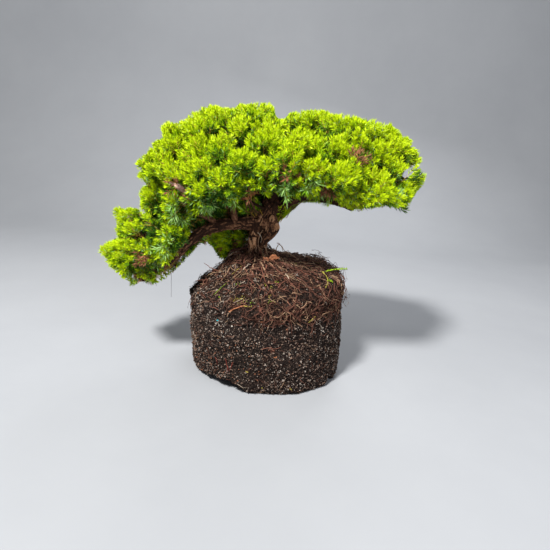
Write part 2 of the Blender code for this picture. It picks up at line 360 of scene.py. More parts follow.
def add_light(name, place, aim, size, power, colour=(1, 1, 1)):
    data = bpy.data.lights.new(name, "AREA")
    data.shape = "DISK"
    data.size = size
    data.energy = power
    data.color = colour
    lamp = bpy.data.objects.new(name, data)
    lamp.location = place
    look = Vector(aim) - Vector(place)
    lamp.rotation_euler = look.to_track_quat("-Z", "Y").to_euler()
    bpy.context.scene.collection.objects.link(lamp)


def add_lights():
    centre = (0, 0, 0.12)
    add_light("key", (-0.45, -0.80, 1.15), centre, 0.22, 47, (1.0, 0.985, 0.95))
    add_light("fill", (0.9, -0.9, 0.55), centre, 0.9, 9, (0.95, 0.97, 1.0))
    add_light("rim", (0.2, 0.75, 0.75), centre, 0.6, 6)
    world = bpy.data.worlds.new("studio")
    world.use_nodes = True
    back = world.node_tree.nodes["Background"]
    back.inputs["Color"].default_value = (0.90, 0.94, 1.0, 1)
    back.inputs["Strength"].default_value = 0.22
    bpy.context.scene.world = world
    bpy.context.scene.view_settings.view_transform = "Standard"


# ================================================================== limbs

TRUNK_PATH = (
    ((-1.76, 0.20, 10.33), 1.34),
    ((-1.75, 0.17, 10.75), 1.08),
    ((-1.70, 0.10, 11.50), 0.98),
    ((-1.45, 0.05, 12.35), 1.04),
    ((-1.32, 0.00, 13.15), 0.86),
    ((-1.20, 0.00, 13.85), 0.76),
    ((-0.98, 0.03, 14.40), 0.86),
    ((-0.66, 0.08, 15.05), 0.95),
)
# name: (carried by, where along it, bend, end, radius at start, at end)
LIMBS = {
    "leader": ("trunk", 1.00, (-0.55, 0.2, 17.0), (-2.1, 0.6, 19.95), 0.66, 0.30),
    "bough_right_inner": ("trunk", 0.96, (1.2, 0.1, 15.95), (3.5, 0.0, 15.72), 0.62, 0.40),
    "bough_right_outer": ("bough_right_inner", 1.00, (5.0, -0.2, 15.60), (6.2, -1.3, 15.20), 0.39, 0.29),
    "bough_left_inner": ("trunk", 0.57, (-4.0, -0.9, 13.15), (-6.0, -1.5, 12.60), 0.55, 0.45),
    "bough_left_bend": ("bough_left_inner", 1.00, (-7.1, -1.8, 12.0), (-8.55, -2.0, 10.30), 0.44, 0.38),
    "bough_left_outer": ("bough_left_bend", 1.00, (-9.6, -2.1, 9.15), (-11.5, -2.1, 7.75), 0.37, 0.26),
    "limb_left_upright": ("bough_left_inner", 0.42, (-4.1, -1.2, 15.0), (-3.8, -3.0, 16.35), 0.27, 0.20),
    "limb_left_low": ("bough_left_inner", 0.86, (-6.9, -1.3, 13.9), (-8.4, -1.5, 14.1), 0.24, 0.17),
    "limb_cascade_upper": ("bough_left_outer", 0.30, (-10.5, -1.2, 10.4), (-11.3, -1.0, 11.2), 0.22, 0.16),
    "bough_left_high": ("leader", 0.42, (-3.4, 0.0, 17.2), (-5.2, 0.4, 19.7), 0.34, 0.24),
    "bough_left_shoulder": ("bough_left_high", 0.62, (-6.0, 0.3, 18.3), (-7.5, 0.4, 19.3), 0.25, 0.18),
    "bough_left_mid": ("leader", 0.22, (-4.6, -0.2, 15.6), (-8.0, -1.0, 16.8), 0.34, 0.23),
    "bough_left_front": ("trunk", 0.84, (-2.9, -2.6, 15.6), (-4.6, -3.4, 15.7), 0.28, 0.20),
    "bough_front": ("leader", 0.22, (0.1, -2.2, 16.3), (0.4, -3.9, 17.3), 0.28, 0.20),
    "bough_right_high": ("leader", 0.33, (1.4, 0.1, 17.2), (1.6, 0.3, 20.1), 0.32, 0.24),
    "bough_right_crest": ("bough_right_high", 0.50, (3.2, 0.4, 18.7), (4.4, 0.5, 20.0), 0.24, 0.18),
    "bough_right_mid": ("bough_right_inner", 0.55, (2.6, -1.6, 16.5), (3.8, -2.7, 16.8), 0.26, 0.19),
    "bough_right_far": ("bough_right_inner", 0.88, (5.9, 0.6, 16.9), (8.2, 1.0, 19.6), 0.30, 0.20),
    "bough_back": ("leader", 0.20, (-0.6, 2.8, 16.4), (-1.9, 3.9, 18.0), 0.36, 0.25),
    "bough_back_right": ("leader", 0.08, (0.9, 2.4, 16.0), (2.6, 3.7, 17.3), 0.30, 0.21),
    "bough_back_left": ("leader", 0.48, (-3.0, 2.2, 17.1), (-5.8, 3.5, 17.3), 0.28, 0.20),
    "limb_back_low_left": ("trunk", 0.44, (-2.4, 2.0, 12.6), (-4.2, 3.3, 11.2), 0.27, 0.19),
    "limb_back_right_far": ("bough_right_outer", 0.30, (5.2, 1.6, 16.1), (6.4, 2.8, 17.0), 0.24, 0.17),
    "limb_back_left_far": ("bough_left_inner", 0.70, (-7.0, 0.1, 12.0), (-9.6, 1.9, 12.6), 0.26, 0.18),
}
WOOD_NODES = ["trunk", *LIMBS]


class Limb:
    """An axis of points with a radius at each."""

    def __init__(self, points, radii):
        self.points, self.radii = np.asarray(points, float), np.asarray(radii, float)

    def at(self, share):
        x = share * (len(self.points) - 1)
        i = min(int(x), len(self.points) - 2)
        f = x - i
        point = self.points[i] * (1 - f) + self.points[i + 1] * f
        return point, unit(self.points[i + 1] - self.points[i]), (
            self.radii[i] * (1 - f) + self.radii[i + 1] * f
        )


def smooth_path(path, steps):
    """Catmull-Rom through (point, radius) knots."""
    rows = np.array([[*p, r] for p, r in path], float)
    padded = np.vstack([2 * rows[0] - rows[1], rows, 2 * rows[-1] - rows[-2]])
    out = []
    for i in range(len(rows) - 1):
        p0, p1, p2, p3 = padded[i : i + 4]
        for t in np.linspace(0, 1, steps, endpoint=False):
            out.append(
                0.5
                * (
                    2 * p1
                    + (p2 - p0) * t
                    + (2 * p0 - 5 * p1 + 4 * p2 - p3) * t**2
                    + (3 * p1 - p0 - 3 * p2 + p3) * t**3
                )
            )
    out.append(rows[-1])
    out = np.array(out)
    return out[:, :3], out[:, 3]


def grow_limbs():
    """The limbs' axes, worked out as the solids' are, and started inside their carriers."""
    coarse = {"trunk": Limb([p for p, _ in TRUNK_PATH], [r for _, r in TRUNK_PATH])}
    fine = {"trunk": Limb(*smooth_path(TRUNK_PATH, 8))}
    for name, (carrier, share, control, end, r0, r1) in LIMBS.items():
        control, end = np.array(control), np.array(end)
        held = coarse[carrier]
        point, direction, radius = held.at(share)
        if share >= 1.0:
            start = held.points[-1]
            inner = held.points[-1]
        else:
            normal = control - point
            normal = unit(normal - direction * (normal @ direction))
            start = point + normal * (radius + 0.065)
            inner = point + normal * radius * 0.25
        t = np.linspace(0, 1, 5)[:, None]
        path = (1 - t) ** 2 * start + 2 * t * (1 - t) * control + t**2 * end
        coarse[name] = Limb(path, np.linspace(r0, r1, 5))
        t = np.linspace(0, 1, 22)[:, None]
        path = (1 - t) ** 2 * start + 2 * t * (1 - t) * control + t**2 * end
        radii = np.linspace(r0, r1, 22)
        if share < 1.0:
            lead = inner + (start - inner) * np.linspace(0, 1, 5)[:-1, None]
            path = np.vstack([lead, path])
            flare = 1 + 0.55 * np.linspace(1, 0, 4) ** 1.2
            radii = np.concatenate([r0 * flare, radii])
            radii[4:8] *= 1 + 0.16 * np.array([0.9, 0.55, 0.3, 0.1])
        fine[name] = Limb(path, radii)
    return fine


# ================================================================= masses

FOLIAGE_NODES = sorted(n for n in NODES if n not in WOOD_NODES and n != "root_ball")


def triangles_of(name):
    mesh = NODES[name].data
    mesh.calc_loop_triangles()
    points = np.empty(len(mesh.vertices) * 3)
    mesh.vertices.foreach_get("co", points)
    corners = np.empty(len(mesh.loop_triangles) * 3, int)
    mesh.loop_triangles.foreach_get("vertices", corners)
    return points.reshape(-1, 3)[corners.reshape(-1, 3)] / CM


class Mass:
    """The outline of one foliage mass, read from its solid."""

    def __init__(self, name):
        self.name = name
        self.tri = triangles_of(name)
        cross = np.cross(self.tri[:, 1] - self.tri[:, 0], self.tri[:, 2] - self.tri[:, 0])
        self.area = np.linalg.norm(cross, axis=1) / 2
        self.normal = unit(cross)
        self.centre = (self.tri.mean(1) * self.area[:, None]).sum(0) / self.area.sum()
        flip = ((self.tri.mean(1) - self.centre) * self.normal).sum(1) < 0
        self.normal[flip] *= -1
        self.span = np.linalg.norm(self.tri.reshape(-1, 3) - self.centre, axis=1).max()
        hull = bmesh.new()
        for p in np.unique(self.tri.reshape(-1, 3).round(4), axis=0):
            hull.verts.new(p)
        bmesh.ops.convex_hull(hull, input=hull.verts)
        hull.normal_update()
        planes = []
        for face in hull.faces:
            n, at = np.array(face.normal), np.array(face.verts[0].co)
            if n @ (at - self.centre) < 0:
                n = -n
            planes.append([*n, n @ at])
        hull.free()
        self.planes = np.array(planes)

    def sample(self, count, rng):
        pick = rng.choice(len(self.area), count, p=self.area / self.area.sum())
        a, b = rng.random((2, count, 1))
        a, b = np.where(a + b > 1, 1 - a, a), np.where(a + b > 1, 1 - b, b)
        t = self.tri[pick]
        return t[:, 0] + a * (t[:, 1] - t[:, 0]) + b * (t[:, 2] - t[:, 0])


BLEND = 1.05  # cm: how widely the masses run into one another
LUMP, LUMP_SIZE = 0.30, 2.2  # cm: clumps of plumes on the crown's skin


def crown_field(points, masses):
    """Depth below the crown's blended skin (negative inside), its slope, and the mass."""
    far = np.full((len(points), len(masses)), 9.0)
    which = np.zeros((len(points), len(masses)), int)
    for j, mass in enumerate(masses):
        close = np.linalg.norm(points - mass.centre, axis=1) < mass.span + 5.0
        if close.any():
            d = points[close] @ mass.planes[:, :3].T - mass.planes[:, 3]
            which[close, j] = d.argmax(1)
            far[close, j] = d.max(1)
    low = far.min(1, keepdims=True)
    weight = np.exp(-(far - low) / BLEND)
    total = weight.sum(1, keepdims=True)
    field = low[:, 0] - BLEND * np.log(total[:, 0])
    slope = np.zeros_like(points)
    for j, mass in enumerate(masses):
        slope += (weight[:, j] / total[:, 0])[:, None] * mass.planes[which[:, j], :3]
    return field, slope, far.argmin(1)


def crown_skin(masses, rng):
    """Points all over the crown's blended skin, and others on the faces inside it."""
    start = np.concatenate([m.sample(int(m.area.sum() * 18), rng) for m in masses])
    lumps = np.array([noise.noise(Vector(p) / LUMP_SIZE) for p in start]) * LUMP
    lumps -= 0.10
    points = start
    for _ in range(5):
        field, slope, owner = crown_field(points, masses)
        step = np.clip(field - lumps, -0.5, 0.5)
        points = points - slope * (step / np.maximum((slope**2).sum(1), 0.3))[:, None]
    field, slope, owner = crown_field(points, masses)
    good = (np.abs(field - lumps) < 0.12) & (np.linalg.norm(slope, axis=1) > 0.45)
    far = ~good
    return (points[good], unit(slope[good]), owner[good], lumps[good]), (
        start[far],
        unit(slope[far]),
        owner[far],
    )


def thin(points, gaps):
    """Indexes of the points left when none stands nearer to another than its gap."""
    cell = 0.8
    grid, kept = {}, []
    keys = np.floor(points / cell).astype(int)
    for i, (p, key, gap) in enumerate(zip(points.tolist(), keys.tolist(), gaps.tolist())):
        reach = int(math.ceil(gap / cell))
        span = range(-reach, reach + 1)
        limit = gap * gap
        clear = True
        for dx in span:
            for dy in span:
                for dz in span:
                    for q in grid.get((key[0] + dx, key[1] + dy, key[2] + dz), ()):
                        if (p[0] - q[0]) ** 2 + (p[1] - q[1]) ** 2 + (p[2] - q[2]) ** 2 < limit:
                            clear = False
                            break
                    if not clear:
                        break
                if not clear:
                    break
            if not clear:
                break
        if clear:
            grid.setdefault(tuple(key), []).append(p)
            kept.append(i)
    return np.array(kept, int)


HEART = np.array([-0.8, 0.6, 13.0])


def spray_headings(tips, normals, feeds, rng):
    """Which way foliage grows: up and away from the trunk, and outward under the crown."""
    away = tips - HEART
    away[:, 1] *= 0.45
    low = np.clip(-1.6 * normals[:, 2], 0, 1)[:, None]
    rising = 0.30 * unit(tips - feeds) + 0.26 * normals + 0.52 * unit(away) + [0, 0, 0.46]
    hanging = 0.45 * unit(tips - feeds) + 0.65 * normals + 0.42 * unit(away) + [0, 0, 0.10]
    return unit((1 - low) * rising + low * hanging + 0.16 * rng.normal(size=tips.shape))


PLUME_GAP = 2.25  # cm between the plumes that the crown's skin is made of
PLUME_DROP = 0.85  # how far a plume's skirts lie below its top


def gather_plumes(skin, normals, feeds, tips, tip_normals, rng):
    """Heaps sprays into domed plumes: new tips, their headings, and a painted shade from 0 on a plume's crown and
    upper side to 1 at the foot of its lower side.
    """
    centre = thin(skin, PLUME_GAP * rng.uniform(0.8, 1.25, len(skin)))
    tree = KDTree(len(centre))
    for i, k in enumerate(centre):
        tree.insert(skin[k], i)
    tree.balance()
    own = np.array([tree.find(p)[1] for p in tips])
    lead = spray_headings(skin[centre], normals[centre], feeds[centre], rng)[own]
    aside = tips - skin[centre][own]
    spread = np.linalg.norm(aside, axis=1) / (0.62 * PLUME_GAP)
    share = np.clip(spread, 0, 1.3) ** 2
    headings = unit(lead + 0.42 * aside + 0.10 * tip_normals + 0.13 * rng.normal(size=tips.shape))
    drop = PLUME_DROP * share
    tips = tips - tip_normals * (0.55 * drop)[:, None] - lead * (0.6 * drop)[:, None]
    away = unit((tips - HEART) * [1, 0.45, 1])
    # painted shade: each plume's lower, inner side gets a darker tone, as if lit from above
    lift = (unit(aside) * unit(0.5 * away + [0, 0, 1.0])).sum(1)
    return tips, headings, np.clip(share * (0.60 - 0.85 * lift), 0, 1)


def root_inside(tips, headings, normals, masses):
    """Turns outward the sprays whose feet would stick out of the crown."""
    headings = headings.copy()
    for _ in range(4):
        out = crown_field(tips - headings * 1.5, masses)[0] > -0.5
        headings[out] = unit(headings[out] + 0.40 * normals[out])
    return headings


def fit_in_outline(tips, headings, slack, rng):
    """Draws back the sprays that would stand out past the crown's edge. Says which fit."""
    tips = tips.copy()
    inset = rng.uniform(-0.8, 1.7, len(tips)) - np.where(slack > 2, 9, 0)
    out = edge_room(tips) < inset
    for _ in range(9):
        tips[out] -= headings[out] * 0.14
        out &= edge_room(tips) < inset
    return tips, ~out


SKIN, UNDER, INNER = range(3)  # layers of sprays, from the light inward


def grow_shoots(tips, headings, layer, rng):
    """A spray is a leading shoot and side shoots that end about level with it, like a hand."""
    n = len(tips)
    up = np.array([0, 0, 1.0])
    reach = rng.uniform(1.45, 2.2, n)
    reach[layer == INNER] *= 0.8
    base = tips - headings * reach[:, None]
    rows = {k: [] for k in ("base", "dir", "length", "spray", "lead")}
    rows["base"].append(base)
    rows["dir"].append(headings)
    rows["length"].append(reach)
    rows["spray"].append(np.arange(n))
    rows["lead"].append(np.ones(n))
    side = unit(np.cross(headings, rng.normal(size=(n, 3))))
    other = np.cross(headings, side)
    turn = rng.uniform(0, 2 * np.pi, n)
    for k in range(4):
        have = rng.random(n) < (1.0, 1.0, 0.9, 0.55)[k]
        have &= (layer != INNER) | (k < 2)
        turn = turn + 2.5 + rng.normal(0, 0.3, n)
        along = 0.30 + 0.13 * k + rng.uniform(-0.05, 0.05, n)
        out = side * np.cos(turn)[:, None] + other * np.sin(turn)[:, None]
        lean = rng.uniform(0.52, 0.86, n)
        direction = unit(
            headings * np.cos(lean)[:, None] + out * np.sin(lean)[:, None] + 0.08 * up
        )
        level = rng.uniform(0.70, 0.95, n)
        length = np.clip((level - along) / np.cos(lean), 0.2, 1.0) * reach
        rows["base"].append((base + headings * (reach * along)[:, None])[have])
        rows["dir"].append(direction[have])
        rows["length"].append(np.clip(length, 0.42, 1.25)[have])
        rows["spray"].append(np.arange(n)[have])
        rows["lead"].append(np.zeros(have.sum()))
    rows = {k: np.concatenate(v) for k, v in rows.items()}
    ends = rows["base"] + rows["dir"] * (rows["length"] + 0.05)[:, None]
    kept = ((edge_room(ends) > 0.0) & (edge_room(rows["base"]) > 0.5)) | (rows["lead"] > 0.5)
    kept &= in_box(ends)
    return {k: v[kept] for k, v in rows.items()}, base


WHORL_GAP = 0.100  # cm between whorls of three needles
NEEDLE_LENGTH = 0.64
NEEDLE_WIDTH = 0.088


def needles_on(shoots, tips, headings, tone, tint, slack, rng):
    """Folded kite blades in whorls of three along each shoot: points, faces, colours."""
    base, run, length = shoots["base"], shoots["dir"], shoots["length"]
    n = len(base)
    helper = unit(rng.normal(size=(n, 3)))
    u = unit(np.cross(run, helper))
    v = np.cross(run, u)
    bend = unit(np.array([0, 0, 1.0]) - run * run[:, 2:3]) * 0.13
    bare = np.where(shoots["lead"] > 0.5, 0.30, 0.08) * length
    glaucous = tone[shoots["spray"]] == -2
    bare[glaucous] = np.maximum(0.30 * length, length - 0.75)[glaucous]
    whorls = np.maximum(((length - bare) / WHORL_GAP).astype(int), 4)
    phase = rng.uniform(0, 2 * np.pi, n)
    index = np.repeat(np.arange(n), whorls)
    order = np.arange(len(index)) - np.repeat(np.cumsum(whorls) - whorls, whorls)
    share = (order + 0.5) / whorls[index]  # 0 at the first whorl, 1 at the tip
    index, order, share = (np.repeat(x, 3) for x in (index, order, share))
    third = np.tile(np.arange(3), len(index) // 3)
    share = share**0.72  # whorls close up toward the tip
    t = (bare[index] + share * (length - bare)[index]) / length[index]
    centre = base[index] + run[index] * (length[index] * t)[:, None]
    centre = centre + bend[index] * (length[index] * t**2)[:, None]
    m = len(index)
    angle = phase[index] + order * 1.05 + third * 2.094 + rng.normal(0, 0.25, m)
    radial = u[index] * np.cos(angle)[:, None] + v[index] * np.sin(angle)[:, None]
    tangent = -u[index] * np.sin(angle)[:, None] + v[index] * np.cos(angle)[:, None]
    axis = unit(run[index] + bend[index] * (2 * t)[:, None])
    to_tip = (1 - share) * (length - bare)[index]  # cm left to the shoot's tip
    sunny = np.clip(tone[shoots["spray"][index]], 0, 1)
    young = np.exp(-((to_tip / (0.26 + 0.20 * sunny)) ** 1.5))
    star = glaucous[index]
    spread = np.radians(58 - 30 * young + 12.0 * star + rng.normal(0, 8, m))[:, None]
    point = unit(axis * np.cos(spread) + radial * np.sin(spread))
    size = NEEDLE_LENGTH * (1 - 0.15 * sunny) * (1 - 0.36 * young) * rng.uniform(0.78, 1.15, m)
    size[star] = rng.uniform(0.55, 0.80, star.sum())
    width = NEEDLE_WIDTH * rng.uniform(0.85, 1.2, m) * np.where(star, 1.1, 0.92 + 0.14 * young)
    roll = rng.normal(0, 0.6, m)[:, None]
    face = np.cross(tangent, point)
    across = tangent * np.cos(roll) + face * np.sin(roll)
    face = np.cross(across, point)
    foot = centre + radial * 0.012
    middle = foot + point * (0.42 * size)[:, None]
    edge = across * (width / 2)[:, None]
    lift = face * (width * 0.20)[:, None]
    curl = -radial * (0.06 * size)[:, None]
    end = foot + point * size[:, None] + curl
    spray = shoots["spray"][index]
    depth = ((tips[spray] - middle) * headings[spray]).sum(1)
    colours = deal_colours(young, depth, tone[spray], tint[spray], rng)
    keep = (edge_room(end) > -slack[spray]) & in_box(end) & ~before_wood(middle)
    points = np.stack([foot, middle + edge + lift, middle - edge + lift, end], 1)[keep]
    first = np.arange(keep.sum()) * 4
    faces = np.stack(
        [
            np.stack([first, first + 1, first + 3], 1),
            np.stack([first, first + 3, first + 2], 1),
        ],
        1,
    ).reshape(-1, 3)
    return points.reshape(-1, 3), faces, np.repeat(colours[keep], 2)


def deal_colours(young, depth, tone, tint, rng):
    """Tone runs from 0, a shaded spray, to 1, one in full light; -1 is dead and -2 glaucous.

    Tint is the share of needles that show their blue-green upper face.
    """
    m = len(young)
    # painted shade: needles lying deeper behind their spray's tip are dealt darker greens
    level = tone - 0.22 + 0.52 * young - 0.40 * np.clip(depth - 0.25, 0, 1.4) + rng.normal(0, 0.13, m)
    colours = np.full(m, DEEP)
    colours[level > 0.24] = MID
    colours[level > 0.48] = BRIGHT
    colours[level > 0.78] = LIME
    open_light = (level > 0.10) & (young < 0.45) & (rng.random(m) < tint)
    colours[open_light] = PALE
    colours[(tone == -1)] = rng.choice([BROWN, DEEP, MID], (tone == -1).sum(), p=[0.72, 0.18, 0.10])
    glaucous = tone == -2
    colours[glaucous] = np.where(rng.random(glaucous.sum()) < 0.72, PALE, MID)
    return colours


# places in the frame where the sprays nearest to the camera differ: x, y, radius
PALE_SPOTS = (
    (199, 205, 5), (208, 210, 5), (233, 197, 7), (281, 191, 5), (317, 199, 5), (330, 203, 5),
    (222, 185, 6), (172, 205, 5), (160, 248, 6), (183, 222, 5), (168, 252, 5), (142, 262, 4),
)
DEAD_SPOTS = (
    (173, 188, 7), (182, 194, 5), (230, 210, 7), (249, 196, 6), (287, 167, 5), (332, 188, 8),
    (324, 195, 5), (366, 156, 7), (141, 270, 7), (153, 276, 5), (268, 185, 6), (205, 226, 6),
)
GAP_SPOTS = (
    (229, 142, 4), (238, 146, 5), (219, 158, 4), (265, 128, 3), (265, 141, 3.5),
    (307, 154, 3), (245, 172, 3.5), (330, 165, 3), (170, 160, 3), (250, 160, 3.5),
    (262, 195, 7), (275, 200, 6), (185, 215, 4), (140, 232, 3), (213, 168, 3), (262, 150, 3),
    (286, 148, 3), (352, 145, 3), (300, 178, 3), (380, 160, 2.5),
)
# and where the near side's colour is painted lighter or darker by and large, as painted light and shade: x, y,
# radius, change
PAINTED_LIGHT_AND_SHADE = (
    (232, 160, 28, -0.15), (262, 182, 18, -0.08), (205, 205, 26, -0.10), (262, 135, 14, -0.10),
    (378, 192, 30, 0.32), (172, 165, 26, 0.18), (312, 160, 26, 0.16), (185, 140, 26, 0.14),
    (300, 185, 18, 0.14), (160, 250, 22, 0.08), (128, 235, 22, 0.10), (152, 236, 10, -0.22), (390, 150, 22, 0.04),
    (336, 142, 14, -0.06), (308, 130, 12, 0.10), (196, 178, 9, -0.18), (215, 190, 10, -0.12),
    (150, 194, 15, 0.42), (421, 178, 10, 0.22), (169, 239, 13, -0.38), (187, 226, 9, -0.18),
    (341, 203, 18, 0.32), (292, 172, 12, 0.20), (377, 121, 13, -0.14), (136, 270, 11, 0.16), (240, 176, 11, 0.14),
)


# the low bough's axis in the frame: nothing hangs before it
OPEN_WOOD = ((197, 236, 4.0), (191, 241.5, 4.0), (186, 247, 4.0), (181.5, 253, 4.2), (177.5, 258.5, 4.2),
             (173, 264, 4.2), (168.5, 269, 4.0), (163.5, 273.5, 3.6), (158, 277.5, 3.2))
# and the spots in front of which a cut stub and a dry leaf lie bare
OPEN_BITS = ((173, 182.5, 3.6, -4.5), (178, 186, 4.2, -4.5), (183, 189.5, 3.6, -4.5),
             (244, 198.5, 3.6, -2.9), (248, 197, 4.2, -2.9), (253, 195, 4.2, -2.9), (257, 193.5, 3.6, -2.9))


def before_wood(points):
    """Which points would hide the low bough."""
    at = view(points)
    hides = np.zeros(len(points), bool)
    for x, y, r in OPEN_WOOD:
        hides |= (np.hypot(at[:, 0] - x, at[:, 1] - y) < r) & (points[:, 1] < -1.2)
    for x, y, r, depth in OPEN_BITS:
        hides |= (np.hypot(at[:, 0] - x, at[:, 1] - y) < r) & (points[:, 1] < depth + 0.1)
    return hides


def tones_for(normals, lumps, skirts, layer, rng):
    """How light each spray's colour is, a painted light and shade from where it sits on the crown, and its blue-green
    share.
    """
    n = len(normals)
    facing = 0.5 + 0.5 * normals[:, 2]
    # painted light and shade: sprays facing up and on raised lumps get a lighter tone, those on plume undersides a
    # darker one
    tone = 0.72 + 0.40 * facing + 0.5 * lumps - 0.74 * skirts + rng.normal(0, 0.08, n)
    # painted shade: the layer under the skin and the sprays inside take dark tones
    tone = np.where(layer == UNDER, 0.26 + 0.2 * facing, tone)
    tone = np.where(layer == INNER, 0.16, tone)
    tint = np.clip(0.30 - 0.34 * facing, 0.04, 0.30) * rng.uniform(0.3, 1.7, n)
    low = (normals[:, 2] < -0.1) & (layer == SKIN)
    tone = np.where(low & (rng.random(n) < 0.07), -2.0, tone)
    dead = (normals[:, 2] < -0.1) & (rng.random(n) < 0.02)
    tone = np.where(dead, -1.0, tone)
    return tone, tint


def nearest_in(spots, tips, depth_span, most=99):
    """Sprays in front at some spots of the frame, within a span of the nearest one's depth."""
    at, far = view(tips), (tips - EYE) @ AHEAD
    found = np.zeros(len(tips), bool)
    for x, y, r in spots:
        off = np.hypot(at[:, 0] - x, at[:, 1] - y)
        here = off < r
        if here.any():
            here &= far < far[here].min() + depth_span
            found[np.flatnonzero(here)[np.argsort(off[here])[:most]]] = True
    return found


def grow_twigs(mass, feed, bases, headings, shoots, heap, rng):
    """Branches from the limb into the mass, to groups of sprays, and on to each spray."""
    start, start_radius = feed
    groups = clusters(bases, max(3, len(bases) // 13), rng)
    hub = start + (mass.centre - start) * 0.75
    middle = (start + hub) / 2 + rng.normal(0, 0.15, 3) - [0, 0, 0.15]
    path = bezier(start[None], middle[None], hub[None], 7)
    thick = np.linspace(start_radius * 0.95, 0.10, 7)[None]
    heap.add(*tubes(path, thick, 6))
    for g in np.unique(groups):
        own = bases[groups == g]
        goal = own.mean(0)
        share = rng.uniform(0.35, 1.0)
        i = share * 6
        leave = path[0, int(i)] if i >= 6 else path[0, int(i)] * (1 - i % 1) + path[0, int(i) + 1] * (i % 1)
        end = leave + (goal - leave) * 0.78
        control = (leave + end) / 2 + rng.normal(0, 0.12, 3) - [0, 0, 0.12]
        arm = bezier(leave[None], control[None], end[None], 5)
        heap.add(*tubes(arm, np.linspace(0.105, 0.050, 5)[None], 5))
        k = len(own)
        on = rng.integers(2, 5, k)
        leave_at = arm[0][on]
        tip_dir = headings[groups == g]
        control = own - tip_dir * 0.35
        stalks = bezier(leave_at, control, own, 4)
        radii = np.linspace(0.040, 0.024, 4)[None].repeat(k, 0)
        heap.add(*tubes(stalks, radii, 3), 0)
    # the shoots' own axes
    tip = shoots["base"] + shoots["dir"] * shoots["length"][:, None]
    bend = unit(np.array([0, 0, 1.0]) - shoots["dir"] * shoots["dir"][:, 2:3])
    tip = tip + bend * (0.16 * shoots["length"])[:, None]
    mid = shoots["base"] + shoots["dir"] * (shoots["length"] * 0.5)[:, None]
    bare = (edge_room(tip) < 0.8) | ~in_box(tip)
    tip[bare] = shoots["base"][bare] + 0.5 * (tip[bare] - shoots["base"][bare])
    axes = bezier(shoots["base"], mid, tip, 2)
    radii = np.array([[0.024, 0.010]]).repeat(len(tip), 0)
    heap.add(*tubes(axes, radii, 3, close_tip=False), 1)


def nearest_feed(mass, limbs):
    """The place on the limbs that this mass grows from."""
    best = (9e9, None)
    for name, limb in limbs.items():
        if name == "trunk":
            continue
        for i in (9, 13, 17, 21, len(limb.points) - 1):
            i = min(i, len(limb.points) - 1)
            distance = np.linalg.norm(limb.points[i] - mass.centre)
            if i == len(limb.points) - 1:
                distance -= 0.8
            if distance < best[0]:
                best = (distance, (limb.points[i], min(0.8 * limb.radii[i], 0.2)))
    return best[1]


# spots of the frame along the crown's lower edge where needles hang a little lower
HANGING_SPOTS = ((322, 199, 3.5), (333, 202, 4.5), (353, 207, 5.5), (371, 204, 5.0), (388, 204, 4.0), (404, 207, 5.5))

SPRAY_GAP = 0.68  # cm between neighbouring sprays on the crown's skin
UNDER_GAP, UNDER_DEPTH = 0.95, 0.75  # between those of the layer below it, and its depth
INNER_GAP = 1.10  # and inside the crown
